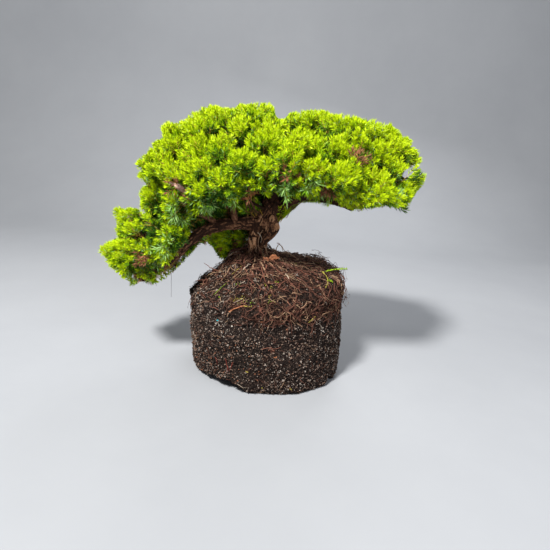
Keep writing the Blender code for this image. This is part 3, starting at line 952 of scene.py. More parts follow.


# loose foliage between the masses: (centre, half widths, count, tone, its spread, dead share); the tone is painted
# light and shade, as for the sprays on the skin
FILLERS = (
    ((-4.2, 1.2, 14.6), (1.8, 1.2, 1.3), 30, 0.16, 0.05, 0.04),
    ((-2.4, 1.6, 15.2), (1.2, 0.8, 1.0), 14, 0.14, 0.05, 0.04),
    ((0.4, 1.0, 16.0), (1.4, 1.0, 0.8), 12, 0.14, 0.05, 0.0),
    ((-6.2, 0.6, 14.8), (1.4, 1.4, 0.9), 14, 0.18, 0.05, 0.04),
    ((-8.4, -0.6, 15.6), (1.4, 1.4, 0.8), 12, 0.22, 0.05, 0.0),
    ((-10.6, -1.2, 12.8), (1.2, 1.2, 0.8), 10, 0.22, 0.05, 0.0),
    ((-3.2, 1.9, 12.4), (0.8, 0.7, 1.0), 10, 0.14, 0.05, 0.2),
    ((-7.3, -1.0, 13.2), (1.0, 0.8, 0.8), 16, 0.30, 0.10, 0.1),
    ((-4.6, -0.1, 14.3), (1.5, 0.8, 0.7), 20, 0.22, 0.10, 0.1),
    ((-2.4, 0.9, 14.8), (1.1, 0.5, 0.8), 14, 0.18, 0.05, 0.1),
    ((-9.0, -1.6, 12.6), (1.0, 0.8, 0.8), 12, 0.40, 0.10, 0.0),
    ((0.95, -0.55, 14.55), (0.62, 0.25, 0.34), 22, 0.80, 0.12, 0.05),
    ((0.80, 0.4, 14.45), (0.75, 0.4, 0.40), 16, 0.70, 0.12, 0.0),
    ((-14.0, -1.0, 13.6), (0.45, 0.4, 0.35), 8, 0.95, 0.05, 0.0),
    ((0.9, -0.1, 18.3), (0.9, 0.6, 0.5), 14, 0.30, 0.10, 0.0),
    ((0.6, 0.2, 19.3), (0.8, 0.6, 0.4), 10, 0.70, 0.10, 0.0),
    ((-15.0, -1.2, 9.95), (0.30, 0.3, 0.50), 10, 0.90, 0.08, 0.0),
    ((-12.8, -1.7, 7.25), (0.35, 0.3, 0.25), 6, 0.60, 0.10, 0.2),
    ((6.6, -1.0, 14.85), (0.35, 0.3, 0.30), 7, 0.75, 0.10, 0.0),
    ((5.1, -1.0, 15.15), (0.50, 0.3, 0.20), 6, 0.70, 0.10, 0.3),
    ((11.6, 0.0, 19.60), (0.30, 0.4, 0.50), 8, 0.90, 0.08, 0.0),
    ((10.7, 0.3, 20.95), (0.35, 0.4, 0.40), 7, 0.90, 0.08, 0.0),
    ((9.3, 0.5, 21.95), (0.40, 0.4, 0.35), 7, 0.90, 0.08, 0.0),
    ((-9.9, -0.3, 20.80), (0.35, 0.4, 0.35), 7, 0.90, 0.08, 0.0),
    ((-4.8, 1.5, 9.55), (0.50, 0.4, 0.35), 7, 0.45, 0.20, 0.1),
    ((-5.2, 1.9, 10.8), (1.2, 0.8, 0.9), 21, 0.46, 0.24, 0.12),
    ((-3.4, 1.6, 11.2), (0.8, 0.6, 1.0), 13, 0.34, 0.20, 0.25),
    ((-2.9, -0.6, 14.9), (1.2, 0.6, 0.5), 14, 0.35, 0.10, 0.1),
    ((-11.2, -2.3, 8.0), (0.9, 0.5, 0.35), 16, 0.40, 0.15, 0.45),
    ((2.3, -1.3, 20.8), (0.9, 0.6, 0.45), 14, 0.62, 0.12, 0.0),
    ((4.8, -1.5, 20.2), (0.7, 0.6, 0.5), 12, 0.62, 0.12, 0.0),
    ((6.6, -2.0, 19.4), (0.6, 0.6, 0.4), 10, 0.55, 0.12, 0.1),
    ((-6.3, -1.8, 20.0), (0.6, 0.5, 0.4), 8, 0.60, 0.12, 0.0),
)


def loose_sprays(masses, rng):
    """Sprays of the fillers, and of the dim inside of each mass; and which of them hang free."""
    points, tones = [], []
    for centre, half, count, tone, spread, dead in FILLERS:
        p = unit(rng.normal(size=(count, 3))) * rng.random((count, 1)) ** (1 / 3)
        points.append(np.array(centre) + p * half)
        shade = np.maximum(tone + spread * rng.normal(size=count), 0.06)
        tones.append(np.where(rng.random(count) < dead, -1.0, shade))
    # a fringe that hangs from the low bough
    count = 70
    t = rng.uniform(0.02, 1.0, (count, 1))
    a, b = np.array([[-6.2, -1.25, 11.60]]), np.array([[-11.0, -1.5, 7.25]])
    fringe = a * (1 - t) + b * t + rng.normal(0, 0.13, (count, 3)) + np.array([0.12, 0, -0.28]) * np.sin(np.pi * t)
    points.append(fringe)
    tones.append(np.where(rng.random(count) < 0.35, -1.0, rng.uniform(0.2, 0.75, count)))
    for mass in masses:
        low, high = mass.tri.reshape(-1, 3).min(0), mass.tri.reshape(-1, 3).max(0)
        p = rng.uniform(low, high, (160, 3))
        d = (p @ mass.planes[:, :3].T - mass.planes[:, 3]).max(1)
        p = p[(d < -0.75) & (d > -1.5)]
        p = p[thin(p, np.full(len(p), INNER_GAP))]
        points.append(p)
        # painted shade: the sprays inside each mass take a dark tone
        tones.append(np.full(len(p), 0.12))
    points, tones = np.concatenate(points), np.concatenate(tones)
    owner = crown_field(points, masses)[2]
    normals = unit(points - np.array([-0.8, 0.6, 13.5]))
    first = sum(row[2] for row in FILLERS)
    normals[first : first + count] = unit(np.array([0.55, -0.15, -0.85]))
    hangs = np.zeros(len(points), bool)
    hangs[first : first + count] = True
    return points, normals, owner, tones, hangs


def build_foliage(limbs):
    masses = [Mass(name) for name in FOLIAGE_NODES]
    feeds = [nearest_feed(mass, limbs) for mass in masses]
    rng = np.random.default_rng(7)
    (skin, normals, owner, lumps), inner = crown_skin(masses, rng)
    feed_at = np.array([f[0] for f in feeds])
    kept = thin(skin, np.full(len(skin), SPRAY_GAP))
    sunk = skin - normals * UNDER_DEPTH
    below = thin(sunk, np.full(len(skin), UNDER_GAP))
    kept_in = thin(inner[0], np.full(len(inner[0]), INNER_GAP))
    loose, loose_normals, loose_owner, loose_tones, loose_hangs = loose_sprays(masses, rng)
    outer = np.concatenate([kept, below])
    tips = np.concatenate([skin[kept], sunk[below]])
    tips, headings, skirts = gather_plumes(
        skin, normals, feed_at[owner], tips, normals[outer], rng
    )
    headings = root_inside(tips, headings, normals[outer], masses)
    inside_at = np.concatenate([inner[0][kept_in], loose])
    inside_normals = np.concatenate([unit(inner[1][kept_in]), loose_normals])
    inside_owner = np.concatenate([inner[2][kept_in], loose_owner])
    tips = np.concatenate([tips, inside_at])
    headings = np.concatenate(
        [headings, spray_headings(inside_at, inside_normals, feed_at[inside_owner], rng)]
    )
    normals = np.concatenate([normals[outer], inside_normals])
    owner = np.concatenate([owner[outer], inside_owner])
    lumps = np.concatenate([lumps[outer], np.zeros(len(inside_at))])
    skirts = np.concatenate([skirts, np.zeros(len(inside_at))])
    layer = np.repeat([SKIN, UNDER, INNER], [len(kept), len(below), len(inside_at)])
    tone, tint = tones_for(normals, lumps, skirts, layer, rng)
    tone[(tone < 0) & (edge_room(tips) < 10)] = 0.6
    tone[-len(loose) :] = loose_tones
    slack = rng.uniform(-0.2, 1.1, len(tips))
    slack[-len(loose) :] = np.where(loose_hangs, 3.2, slack[-len(loose) :])
    # painted light: the low sprays at the back, in the crown's shade, are dealt a lighter tone
    tone[(tone > 0) & (tips[:, 2] < 13.3) & (tips[:, 1] > 0.6) & (tips[:, 0] > -7)] += 0.30
    at = view(tips)
    # painted light and shade: the near sprays' tone is raised or lowered around each spot
    for x, y, r, change in PAINTED_LIGHT_AND_SHADE:
        share = np.exp(-(((at[:, 0] - x) ** 2 + (at[:, 1] - y) ** 2) / r**2))
        tone = np.where((tone > 0) & (tips[:, 1] < 1.5), np.maximum(tone + change * share, 0.05), tone)
    tips, fits = fit_in_outline(tips, headings, slack, rng)
    fits &= edge_room(tips - headings * 1.5) > 1.0
    fits &= ~nearest_in(GAP_SPOTS, tips, 1.4)
    tips, headings, owner, layer, tone, tint, slack = (
        a[fits] for a in (tips, headings, owner, layer, tone, tint, slack)
    )
    tone[nearest_in(PALE_SPOTS, tips, 1.2, 1)] = -2
    tone[nearest_in(DEAD_SPOTS, tips, 1.0, 2)] = -1
    at = view(tips)
    for x, y, r in HANGING_SPOTS:
        slack[np.hypot(at[:, 0] - x, at[:, 1] - y) < r] += 2.6
    shoots, bases = grow_shoots(tips, headings, layer, rng)
    twigs = Heap()
    for number, mass in enumerate(masses):
        rng = np.random.default_rng(1000 + number)
        mine = owner[shoots["spray"]] == number
        own = {k: v[mine] for k, v in shoots.items()}
        points, faces, colours = needles_on(own, tips, headings, tone, tint, slack, rng)
        piece = write_mesh("needles_" + mass.name, points, faces, NEEDLE_MATERIALS, colours)
        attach(piece, "root")
        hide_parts(mass.name)
        held = owner == number
        grow_twigs(mass, feeds[number], bases[held], headings[held], own, twigs, rng)
    piece = twigs.write("twigs", TWIG_MATERIALS, smooth=True)
    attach(piece, "root")


# =================================================================== bark

# bark colours; the crevice brown carries painted shade in the hollows and the ridge brown a painted highlight on the
# high ridges
BARK_MATERIALS = [
    mottled("bark_crevice_shade", [(0.35, (0.012, 0.006, 0.004)), (0.7, (0.048, 0.021, 0.012))], 500, 0.9),
    mottled("bark_brown", [(0.40, (0.040, 0.016, 0.009)), (0.60, (0.205, 0.098, 0.052))], 520, 0.85, 0.6),
    mottled("bark_ridge_highlight", [(0.38, (0.130, 0.060, 0.032)), (0.62, (0.330, 0.180, 0.105))], 520, 0.85, 0.6),
    mottled("bark_bare", [(0.38, (0.210, 0.095, 0.045)), (0.62, (0.440, 0.240, 0.130))], 420, 0.7, 0.5),
    mottled("bark_shade", [(0.40, (0.020, 0.008, 0.005)), (0.62, (0.115, 0.046, 0.026))], 520, 0.9, 0.6),
    mottled("dry_leaf", [(0.40, (0.220, 0.075, 0.030)), (0.62, (0.440, 0.180, 0.075))], 400, 0.8, 0.3),
    mottled("cut_stub", [(0.40, (0.330, 0.150, 0.110)), (0.62, (0.640, 0.430, 0.360))], 500, 0.8, 0.4),
]

# lobes, burls and straps that make up the trunk: (point, radius) knots
STRANDS = (
    (((-2.45, -0.05, 10.1), 0.72), ((-2.28, -0.22, 10.7), 0.46), ((-2.20, -0.34, 11.2), 0.42),
     ((-2.12, -0.40, 11.8), 0.46), ((-1.95, -0.38, 12.4), 0.44), ((-1.75, -0.30, 13.0), 0.42),
     ((-1.5, -0.3, 13.6), 0.40), ((-1.2, -0.25, 14.3), 0.42), ((-0.85, -0.2, 15.0), 0.5)),
    (((-1.15, -0.1, 10.2), 0.66), ((-1.26, -0.25, 10.7), 0.40), ((-1.22, -0.35, 11.2), 0.34),
     ((-1.10, -0.38, 11.7), 0.35), ((-0.88, -0.38, 12.3), 0.46), ((-0.74, -0.32, 13.0), 0.48),
     ((-0.78, -0.35, 13.6), 0.46), ((-0.7, -0.3, 14.2), 0.45), ((-0.3, -0.2, 14.9), 0.5)),
    (((-0.66, -0.40, 14.05), 0.24), ((-0.38, -0.50, 13.74), 0.25), ((-0.21, -0.54, 13.36), 0.26),
     ((-0.14, -0.54, 12.90), 0.31), ((-0.32, -0.50, 12.48), 0.30), ((-0.64, -0.46, 12.10), 0.28),
     ((-0.96, -0.44, 11.70), 0.24)),
    (((-0.62, -0.76, 13.48), 0.20), ((-0.56, -0.84, 13.78), 0.32), ((-0.52, -0.76, 14.08), 0.22)),
    (((-4.2, -0.7, 12.95), 0.30), ((-3.4, -0.6, 12.98), 0.36), ((-2.6, -0.5, 12.95), 0.38),
     ((-2.0, -0.52, 13.1), 0.34), ((-1.6, -0.56, 13.6), 0.27), ((-1.3, -0.5, 14.2), 0.24),
     ((-1.0, -0.35, 14.8), 0.26)),
    (((-1.4, 0.7, 10.2), 0.7), ((-1.5, 0.75, 11.2), 0.42), ((-1.3, 0.6, 12.6), 0.5), ((-1.0, 0.4, 14.4), 0.5)),
)
BARE = (  # places where the outer bark has gone: centre and half widths
    ((-2.14, -0.80, 11.65), (0.34, 0.45, 0.85)),
    ((-0.08, -0.85, 12.95), (0.30, 0.40, 0.48)),
    ((-0.56, -1.15, 13.78), (0.30, 0.40, 0.36)),
    ((-1.55, -0.80, 13.60), (0.20, 0.40, 0.60)),
    ((-1.05, -0.80, 12.75), (0.22, 0.30, 0.22)),
)
MAIN_WOOD = (
    "trunk", "bough_right_inner", "bough_right_outer",
    "bough_left_inner", "bough_left_bend", "bough_left_outer",
)


def refine(limb, step):
    """The same limb with its points a step apart."""
    along = np.concatenate(
        [[0], np.cumsum(np.linalg.norm(np.diff(limb.points, axis=0), axis=1))]
    )
    count = max(4, int(along[-1] / step))
    s = np.linspace(0, along[-1], count)
    points = np.stack([np.interp(s, along, limb.points[:, i]) for i in range(3)], 1)
    return Limb(points, np.interp(s, along, limb.radii))


def frame_of(limb):
    """Directions across a limb that turn as little as they can, and the length along it."""
    run = unit(np.gradient(limb.points, axis=0))
    across = np.zeros_like(limb.points)
    ref = unit(np.cross(run[0], [0.3, 0.2, 1.0]))
    for i in range(len(run)):
        ref = unit(ref - run[i] * (ref @ run[i]))
        across[i] = ref
    along = np.concatenate([[0], np.cumsum(np.linalg.norm(np.diff(limb.points, axis=0), axis=1))])
    return run, across, np.cross(run, across), along


def tube_of(limb, sides, swell=0.12, seed=0.0):
    _, across, other, _ = frame_of(limb)
    a = 2 * np.pi * np.arange(sides) / sides
    ring = across[:, None] * np.cos(a)[:, None] + other[:, None] * np.sin(a)[:, None]
    points = limb.points[:, None] + ring * limb.radii[:, None, None]
    flat = points.reshape(-1, 3)
    out = ring.reshape(-1, 3)
    amount = np.array([noise.noise(Vector(p) * 1.1 + Vector((seed, 0, 0))) for p in flat])
    radii = np.repeat(limb.radii, sides)
    return flat + out * (amount * radii * swell * 2)[:, None]


def tube_faces(rings, sides):
    j = np.arange(sides)
    j2 = (j + 1) % sides
    faces = []
    for i in range(rings - 1):
        lo, hi = i * sides, (i + 1) * sides
        faces.append(np.stack([lo + j, lo + j2, hi + j2], 1))
        faces.append(np.stack([lo + j, hi + j2, hi + j], 1))
    last = (rings - 1) * sides
    for s in range(1, sides - 1):
        faces.append(np.array([[last, last + s, last + s + 1]]))
        faces.append(np.array([[0, s + 1, s]]))
    return np.concatenate(faces)


def fuse(points, faces, voxel):
    """Runs closed forms that pass through one another into one skin."""
    obj = write_mesh("fusing", points, faces, [])
    remesh = obj.modifiers.new("remesh", "REMESH")
    remesh.mode = "VOXEL"
    remesh.voxel_size = voxel * CM
    remesh.adaptivity = 0.0
    made = obj.evaluated_get(bpy.context.evaluated_depsgraph_get()).to_mesh()
    made.calc_loop_triangles()
    out = np.empty(len(made.vertices) * 3)
    made.vertices.foreach_get("co", out)
    corners = np.empty(len(made.loop_triangles) * 3, int)
    made.loop_triangles.foreach_get("vertices", corners)
    obj.evaluated_get(bpy.context.evaluated_depsgraph_get()).to_mesh_clear()
    mesh = obj.data
    bpy.data.objects.remove(obj)
    bpy.data.meshes.remove(mesh)
    return out.reshape(-1, 3) / CM, corners.reshape(-1, 3)


def relax(points, faces, rounds, share=0.5):
    """Evens out a skin by moving each point toward the mean of its neighbours."""
    edges = np.concatenate([faces[:, [0, 1]], faces[:, [1, 2]], faces[:, [2, 0]]])
    count = np.bincount(edges[:, 0], minlength=len(points)).astype(float)
    for _ in range(rounds):
        mean = np.stack(
            [np.bincount(edges[:, 0], points[edges[:, 1], i], len(points)) for i in range(3)], 1
        )
        points = points + share * (mean / np.maximum(count, 1)[:, None] - points)
    return points


def point_normals(points, faces):
    t = points[faces]
    face = np.cross(t[:, 1] - t[:, 0], t[:, 2] - t[:, 0])
    out = np.zeros_like(points)
    for k in range(3):
        for i in range(3):
            out[:, i] += np.bincount(faces[:, k], face[:, i], len(points))
    return unit(out)


def add_bark(points, faces, axes, depth):
    """Raises ridges and strips that follow the wood, and says how high each point stands."""
    tree = KDTree(sum(len(a.points) for a in axes))
    rows = []
    for number, limb in enumerate(axes):
        _, across, other, along = frame_of(limb)
        for i, p in enumerate(limb.points):
            tree.insert(p, len(rows))
            rows.append((p, across[i], other[i], along[i], limb.radii[i], number * 5.3))
    tree.balance()
    normals = point_normals(points, faces)
    height = np.zeros(len(points))
    for i, p in enumerate(points):
        _, index, _ = tree.find(p)
        at, across, other, along, radius, seed = rows[index]
        d = p - at
        q = Vector((d @ across, d @ other, along * 0.22 + seed))
        strips = noise.voronoi(q * 3.2 + Vector((0, 0, 0.4 * noise.noise(Vector(p) * 2))))[0]
        crack = min(1.0, (strips[1] - strips[0]) * 3.4)
        fine = noise.noise(q * 9.0)
        broad = noise.noise(Vector(p) * 1.3)
        height[i] = 0.62 * crack + 0.25 * fine + 0.35 * broad
        points[i] = p + normals[i] * depth * min(1.0, radius / 0.5) * (height[i] - 0.45)
    return points, height


def flake(middle, along_dir, across_dir, facing, long, wide):
    """A curled, ragged flake or leaf, thin as paper: points and faces."""
    u, v, w = unit(along_dir), unit(across_dir), unit(facing)
    across, along = 4, 10
    grid = []
    for side in (0.0, 0.03):
        for i in range(along):
            t = i / (along - 1) - 0.5
            for j in range(across):
                s = j / (across - 1) - 0.5
                span = wide * (1 + 0.36 * math.sin(9 * t + 1) + 0.36 * math.cos(23 * t)) * (1 - 1.6 * t * t)
                grid.append(
                    middle
                    + u * long * t
                    + v * (span * s * 1.5 + 0.18 * t + 0.08 * math.sin(8 * t))
                    + w * (0.25 * s * s + 0.06 * math.sin(11 * t) - side)
                )
    sheet = len(grid) // 2
    faces = []
    for i in range(along - 1):
        for j in range(across - 1):
            a = i * across + j
            faces += [(a, a + 1, a + across), (a + 1, a + across + 1, a + across)]
            a, b, c, d = (k + sheet for k in (a, a + 1, a + across, a + across + 1))
            faces += [(a, c, b), (b, c, d)]
    edge = [(i * across, (i + 1) * across) for i in range(along - 1)]
    edge += [((i + 1) * across + across - 1, i * across + across - 1) for i in range(along - 1)]
    edge += [(j + 1, j) for j in range(across - 1)]
    last = (along - 1) * across
    edge += [(last + j, last + j + 1) for j in range(across - 1)]
    for a, b in edge:
        faces += [(a, b, b + sheet), (a, b + sheet, a + sheet)]
    return np.array(grid), np.array(faces)


def build_wood(limbs):
    heap, thin_heap = Heap(), Heap()
    axes = []
    for number, (name, limb) in enumerate(limbs.items()):
        main = name in MAIN_WOOD
        fine = refine(limb, 0.12 if main else 0.18)
        if name == "trunk":  # its core stands back between the lobes in front of it
            z = fine.points[:, 2]
            fine.radii *= np.interp(z, [10.3, 10.8, 12.2, 13.2], [0.90, 0.50, 0.50, 0.93])
            fine.points[:, 1] += np.interp(z, [10.3, 10.8, 12.4, 13.2], [0.12, 0.50, 0.50, 0.12])
        elif name == "bough_left_front":
            fine.radii *= 0.45
        elif name == "bough_right_inner":
            fine.radii *= 0.86
            fine.points[:, 2] += 0.16 * np.sin(np.linspace(0.4, np.pi, len(fine.points)))
        elif name in ("bough_left_bend", "bough_left_outer"):
            last = name == "bough_left_outer"
            fine.radii *= np.linspace(1.1, 0.45, len(fine.points)) if last else 1.1
            fine.points[:, 2] -= 0.08 if last else np.linspace(0, 0.08, len(fine.points))
        sides = 24 if main else 10
        points = tube_of(fine, sides, 0.12, number * 3.7)
        if main:
            axes.append(fine)
            heap.add(points, tube_faces(len(fine.points), sides))
        else:
            index = tube_faces(len(fine.points), sides)
            # painted shade: thin limbs within 3.2 cm of the crown's heart take the crevice brown
            dealt = np.where(np.linalg.norm(points[index[:, 0]] - [-1.0, 0, 15.6], axis=1) < 3.2, 0, 1)
            thin_heap.add(points, tube_faces(len(fine.points), sides), dealt)
    for number, knots in enumerate(STRANDS):
        strand = refine(Limb(*smooth_path(knots, 8)), 0.10)
        axes.append(strand)
        heap.add(tube_of(strand, 20, 0.10, 50 + number), tube_faces(len(strand.points), 20))
    points, faces = fuse(np.concatenate(heap.points), np.concatenate(heap.faces), 0.062)
    points = relax(points, faces, 3)
    points, height = add_bark(points, faces, axes, 0.115)
    level = height[faces].mean(1)
    middle = points[faces].mean(1)
    on_trunk = (middle[:, 2] < 14.6) & (np.abs(middle[:, 0] + 1.3) < 1.7)
    in_shade = (middle[:, 0] > -1.8) & (middle[:, 2] > 14.2)
    # painted shade and highlight: faces low in the relief take the crevice brown, the highest ridges a lighter brown
    dealt = np.where(level < np.where(on_trunk, 0.32, 0.44), 0, 1)
    dealt[level > np.where(on_trunk, 0.84, 1.02) + 0.2 * in_shade] = 2
    dealt[in_shade & (level > 0.46)] = 4
    ragged = np.array([noise.noise(Vector(p) * 3.0) for p in middle]) * 0.35
    for centre, half in BARE:
        inside = (((middle - centre) / half) ** 2).sum(1) + ragged < 1.0
        dealt[inside & (level > 0.22)] = 3
    thin_heap.add(points, faces, dealt)
    # a dry leaf caught in the fork, and a cut stub in the foliage at the left
    made, index = flake(np.array([-2.42, -2.9, 15.72]), (1.2, 0, 0.57), (-0.3, -0.5, 1.0), (0, -1, 0.4), 1.35, 0.24)
    thin_heap.add(made, index, 5)
    stub = Limb(*smooth_path((((-7.0, -3.4, 15.55), 0.10), ((-7.5, -4.3, 15.90), 0.15), ((-8.0, -4.5, 16.18), 0.19),
                              ((-8.5, -4.55, 16.47), 0.14)), 5))
    thin_heap.add(tube_of(stub, 9, 0.35, 77.0), tube_faces(len(stub.points), 9), 6)
    piece = thin_heap.write("bark_wood", BARK_MATERIALS, smooth=True)
    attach(piece, "root")
    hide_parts(*WOOD_NODES)


# ============================================================== root ball

BALL_FOOT, BALL_WAIST, BALL_LEAN = 6.55, 6.80, -0.45
RIM_MEAN, RIM_RISE = 8.25, 0.80
MOUND, MOUND_RADIUS = Vector((-1.75, 0.2, 10.30)), 1.75

SOIL = mottled(
    "soil",
    [(0.40, (0.003, 0.002, 0.002)), (0.56, (0.014, 0.009, 0.007)), (0.72, (0.070, 0.050, 0.040))],
    760,
    0.95,
    bump=1.0,
)
GRAIN_MATERIALS = [
    mottled("grain_dark", [(0.3, (0.016, 0.011, 0.009)), (0.7, (0.050, 0.036, 0.029))], 900, 0.95),
    mottled("grain_brown", [(0.3, (0.080, 0.050, 0.037)), (0.7, (0.160, 0.108, 0.082))], 900, 0.9),
    mottled("grain_grey", [(0.3, (0.160, 0.128, 0.108)), (0.7, (0.265, 0.222, 0.190))], 900, 0.9),
    mottled("grain_pale", [(0.3, (0.290, 0.250, 0.215)), (0.7, (0.400, 0.355, 0.310))], 900, 0.85),
    mottled("grain_rust", [(0.3, (0.140, 0.052, 0.028)), (0.7, (0.230, 0.100, 0.055))], 900, 0.9),
]
ROOT_MATERIALS = [
    mottled("root_dark", [(0.3, (0.016, 0.008, 0.006)), (0.7, (0.045, 0.021, 0.015))], 400, 0.8),
    mottled("root_brown", [(0.3, (0.050, 0.022, 0.015)), (0.7, (0.115, 0.054, 0.037))], 400, 0.75),
    mottled("root_red", [(0.3, (0.095, 0.036, 0.024)), (0.7, (0.180, 0.074, 0.050))], 400, 0.7),
    mottled("root_tan", [(0.3, (0.190, 0.110, 0.064)), (0.7, (0.320, 0.205, 0.128))], 400, 0.7),
    mottled("root_pale", [(0.3, (0.380, 0.295, 0.220)), (0.7, (0.500, 0.420, 0.335))], 400, 0.7),
    mottled("root_orange", [(0.35, (0.200, 0.070, 0.030)), (0.65, (0.400, 0.165, 0.080))], 500, 0.8),
    new_material("moss_green", (0.210, 0.330, 0.012), 0.8, 0.1),
    new_material("moss_yellow", (0.300, 0.245, 0.050), 0.8, 0.1),
    new_material("speck_blue", (0.020, 0.360, 0.460), 0.5, 0.3),
    new_material("root_wine", (0.140, 0.030, 0.022), 0.7, 0.1),
]


def rim_height(angle):
    lumps = 0.25 * noise.noise(Vector((2 * math.cos(angle), 2 * math.sin(angle), 7.3)))
    return RIM_MEAN + RIM_RISE * math.cos(angle) + 0.15 * math.sin(angle) + lumps


def ball_point(angle, z, share):
    rounded = abs(math.cos(angle)) ** 2.5 + abs(math.sin(angle)) ** 2.5
    radius = BALL_FOOT + (BALL_WAIST - BALL_FOOT) * min(1.0, share / 0.30)
    radius *= 0.35 + 0.65 * rounded ** (-1 / 2.5)
    radius -= 0.28 * max(0.0, 1 - z / 0.45) ** 2
    radius -= (0.75 - 0.35 * math.cos(angle)) * max(0.0, (share - 0.86) / 0.14) ** 2
    lump_at = Vector((0.33 * radius * math.cos(angle), 0.33 * radius * math.sin(angle), 0.42 * z))
    radius += 0.26 * noise.noise(lump_at + Vector((3.1, 8.2, 1.7)))
    return Vector((radius * math.cos(angle) + BALL_LEAN * share, radius * math.sin(angle), z))


# how far the foot's edge stands off the ground, by the angle around it
FOOT_ANGLES = (-180, -158, -146, -132, -121, -113, -107, -99, -39, -35, -31, -27, 60, 75, 95, 110, 180)
FOOT_LIFTS = (0.0, 0.0, 0.35, 0.65, 0.85, 0.95, 0.50, 0.0, 0.0, 0.65, 0.65, 0.0, 0.0, 0.35, 0.4, 0.0, 0.0)


def foot_lift(angle):
    degrees = (math.degrees(angle) + 180) % 360 - 180
    return float(np.interp(degrees, FOOT_ANGLES, FOOT_LIFTS))


def ball_surface(angle, s):
    """s below 0 is the underside, 0 to 1 climbs the side, and 1 to 2 crosses the top to the mound."""
    if s <= 0.0:
        edge = ball_point(angle, 0.0, 0.0)
        share = 1 + s
        return Vector((edge.x * share, edge.y * share, foot_lift(angle) * share**3))
    if s <= 1.0:
        lift = foot_lift(angle)
        height = rim_height(angle)
        z = lift + s * (height - lift)
        return ball_point(angle, z, z / height)
    s -= 1.0
    edge = ball_point(angle, rim_height(angle), 1.0)
    inner = MOUND + MOUND_RADIUS * Vector((math.cos(angle), math.sin(angle), 0))
    p = edge.lerp(inner, s)
    p.z = edge.z + (MOUND.z - edge.z) * (1 - (1 - s) ** (1.10 - 0.20 * math.cos(angle)))
    # the mat stands up in a shoulder on the right and falls away on the left
    p.z += 0.34 * max(0.0, math.cos(angle)) * math.sin(math.pi * min(1.0, s / 0.55))
    p.z -= 0.50 * max(0.0, -math.cos(angle)) * math.sin(math.pi * s) ** 0.8
    if s < 1.0:
        p.z += 0.16 * noise.noise(p * 0.7)
    return p


def soil_mesh():
    segments = 230
    rows = [*np.linspace(-1, 0, 9)[1:-1], *np.linspace(0, 1, 72), *np.linspace(1, 2, 34)[1:]]
    foot_row = 7
    points = np.array(
        [
            [ball_surface(2 * math.pi * k / segments, s) for k in range(segments)]
            for s in rows
        ]
    )
    rowdir = np.gradient(points, axis=0)
    arc = np.roll(points, -1, 1) - np.roll(points, 1, 1)
    normal = unit(np.cross(arc, rowdir))
    flat = points.reshape(-1, 3)
    relief = []
    for p in flat:
        cell = noise.voronoi(Vector(p) * 3.2)[0]
        relief.append(
            0.10 * noise.fractal(Vector(p) * 1.3, 1.0, 2.0, 5)
            + 0.12 * (min(1.0, 2.2 * (cell[1] - cell[0])) - 0.7)
            + (0.22 * noise.noise(Vector(p) * 1.15) + 0.16 * noise.noise(Vector(p) * 2.7)) * min(1.0, max(0.0, p[2] - 5.5))
        )
    relief = np.array(relief).reshape(len(rows), segments, 1)
    relief[:foot_row] = 0
    relief[foot_row] = 0
    points = points + normal * relief
    points[:, :, 0] -= 0.28  # the ball stands a little to the left of the trunk's foot
    points[:, :, 2] = np.maximum(points[:, :, 2], 0.0)
    grid = np.arange(len(rows) * segments).reshape(len(rows), segments)
    a, b = grid[:-1], np.roll(grid, -1, 1)[:-1]
    c, d = np.roll(grid, -1, 1)[1:], grid[1:]
    faces = np.concatenate(
        [np.stack([a, b, c], -1).reshape(-1, 3), np.stack([a, c, d], -1).reshape(-1, 3)]
    )
    foot, crown = len(flat), len(flat) + 1
    points = np.vstack([points.reshape(-1, 3), [0, 0, 0], list(MOUND)])
    around = np.arange(segments)
    ring = (around + 1) % segments
    top = grid[-1]
    faces = np.vstack(
        [
            faces,
            np.stack([ring, around, np.full(segments, foot)], 1),
            np.stack([top[around], top[ring], np.full(segments, crown)], 1),
        ]
    )
    return points, faces


def sample_skin(points, faces, count, weight, rng):
    t = points[faces]
    cross = np.cross(t[:, 1] - t[:, 0], t[:, 2] - t[:, 0])
    area = np.linalg.norm(cross, axis=1) * weight(t.mean(1), unit(cross))
    pick = rng.choice(len(area), count, p=area / area.sum())
    a, b = rng.random((2, count, 1))
    a, b = np.where(a + b > 1, 1 - a, a), np.where(a + b > 1, 1 - b, b)
    t = t[pick]
    return t[:, 0] + a * (t[:, 1] - t[:, 0]) + b * (t[:, 2] - t[:, 0]), unit(cross[pick])


TETRAHEDRON = np.array([[1, 1, 1], [1, -1, -1], [-1, 1, -1], [-1, -1, 1]], float) / 1.5
TETRA_FACES = np.array([[0, 1, 2], [0, 3, 1], [0, 2, 3], [1, 3, 2]])


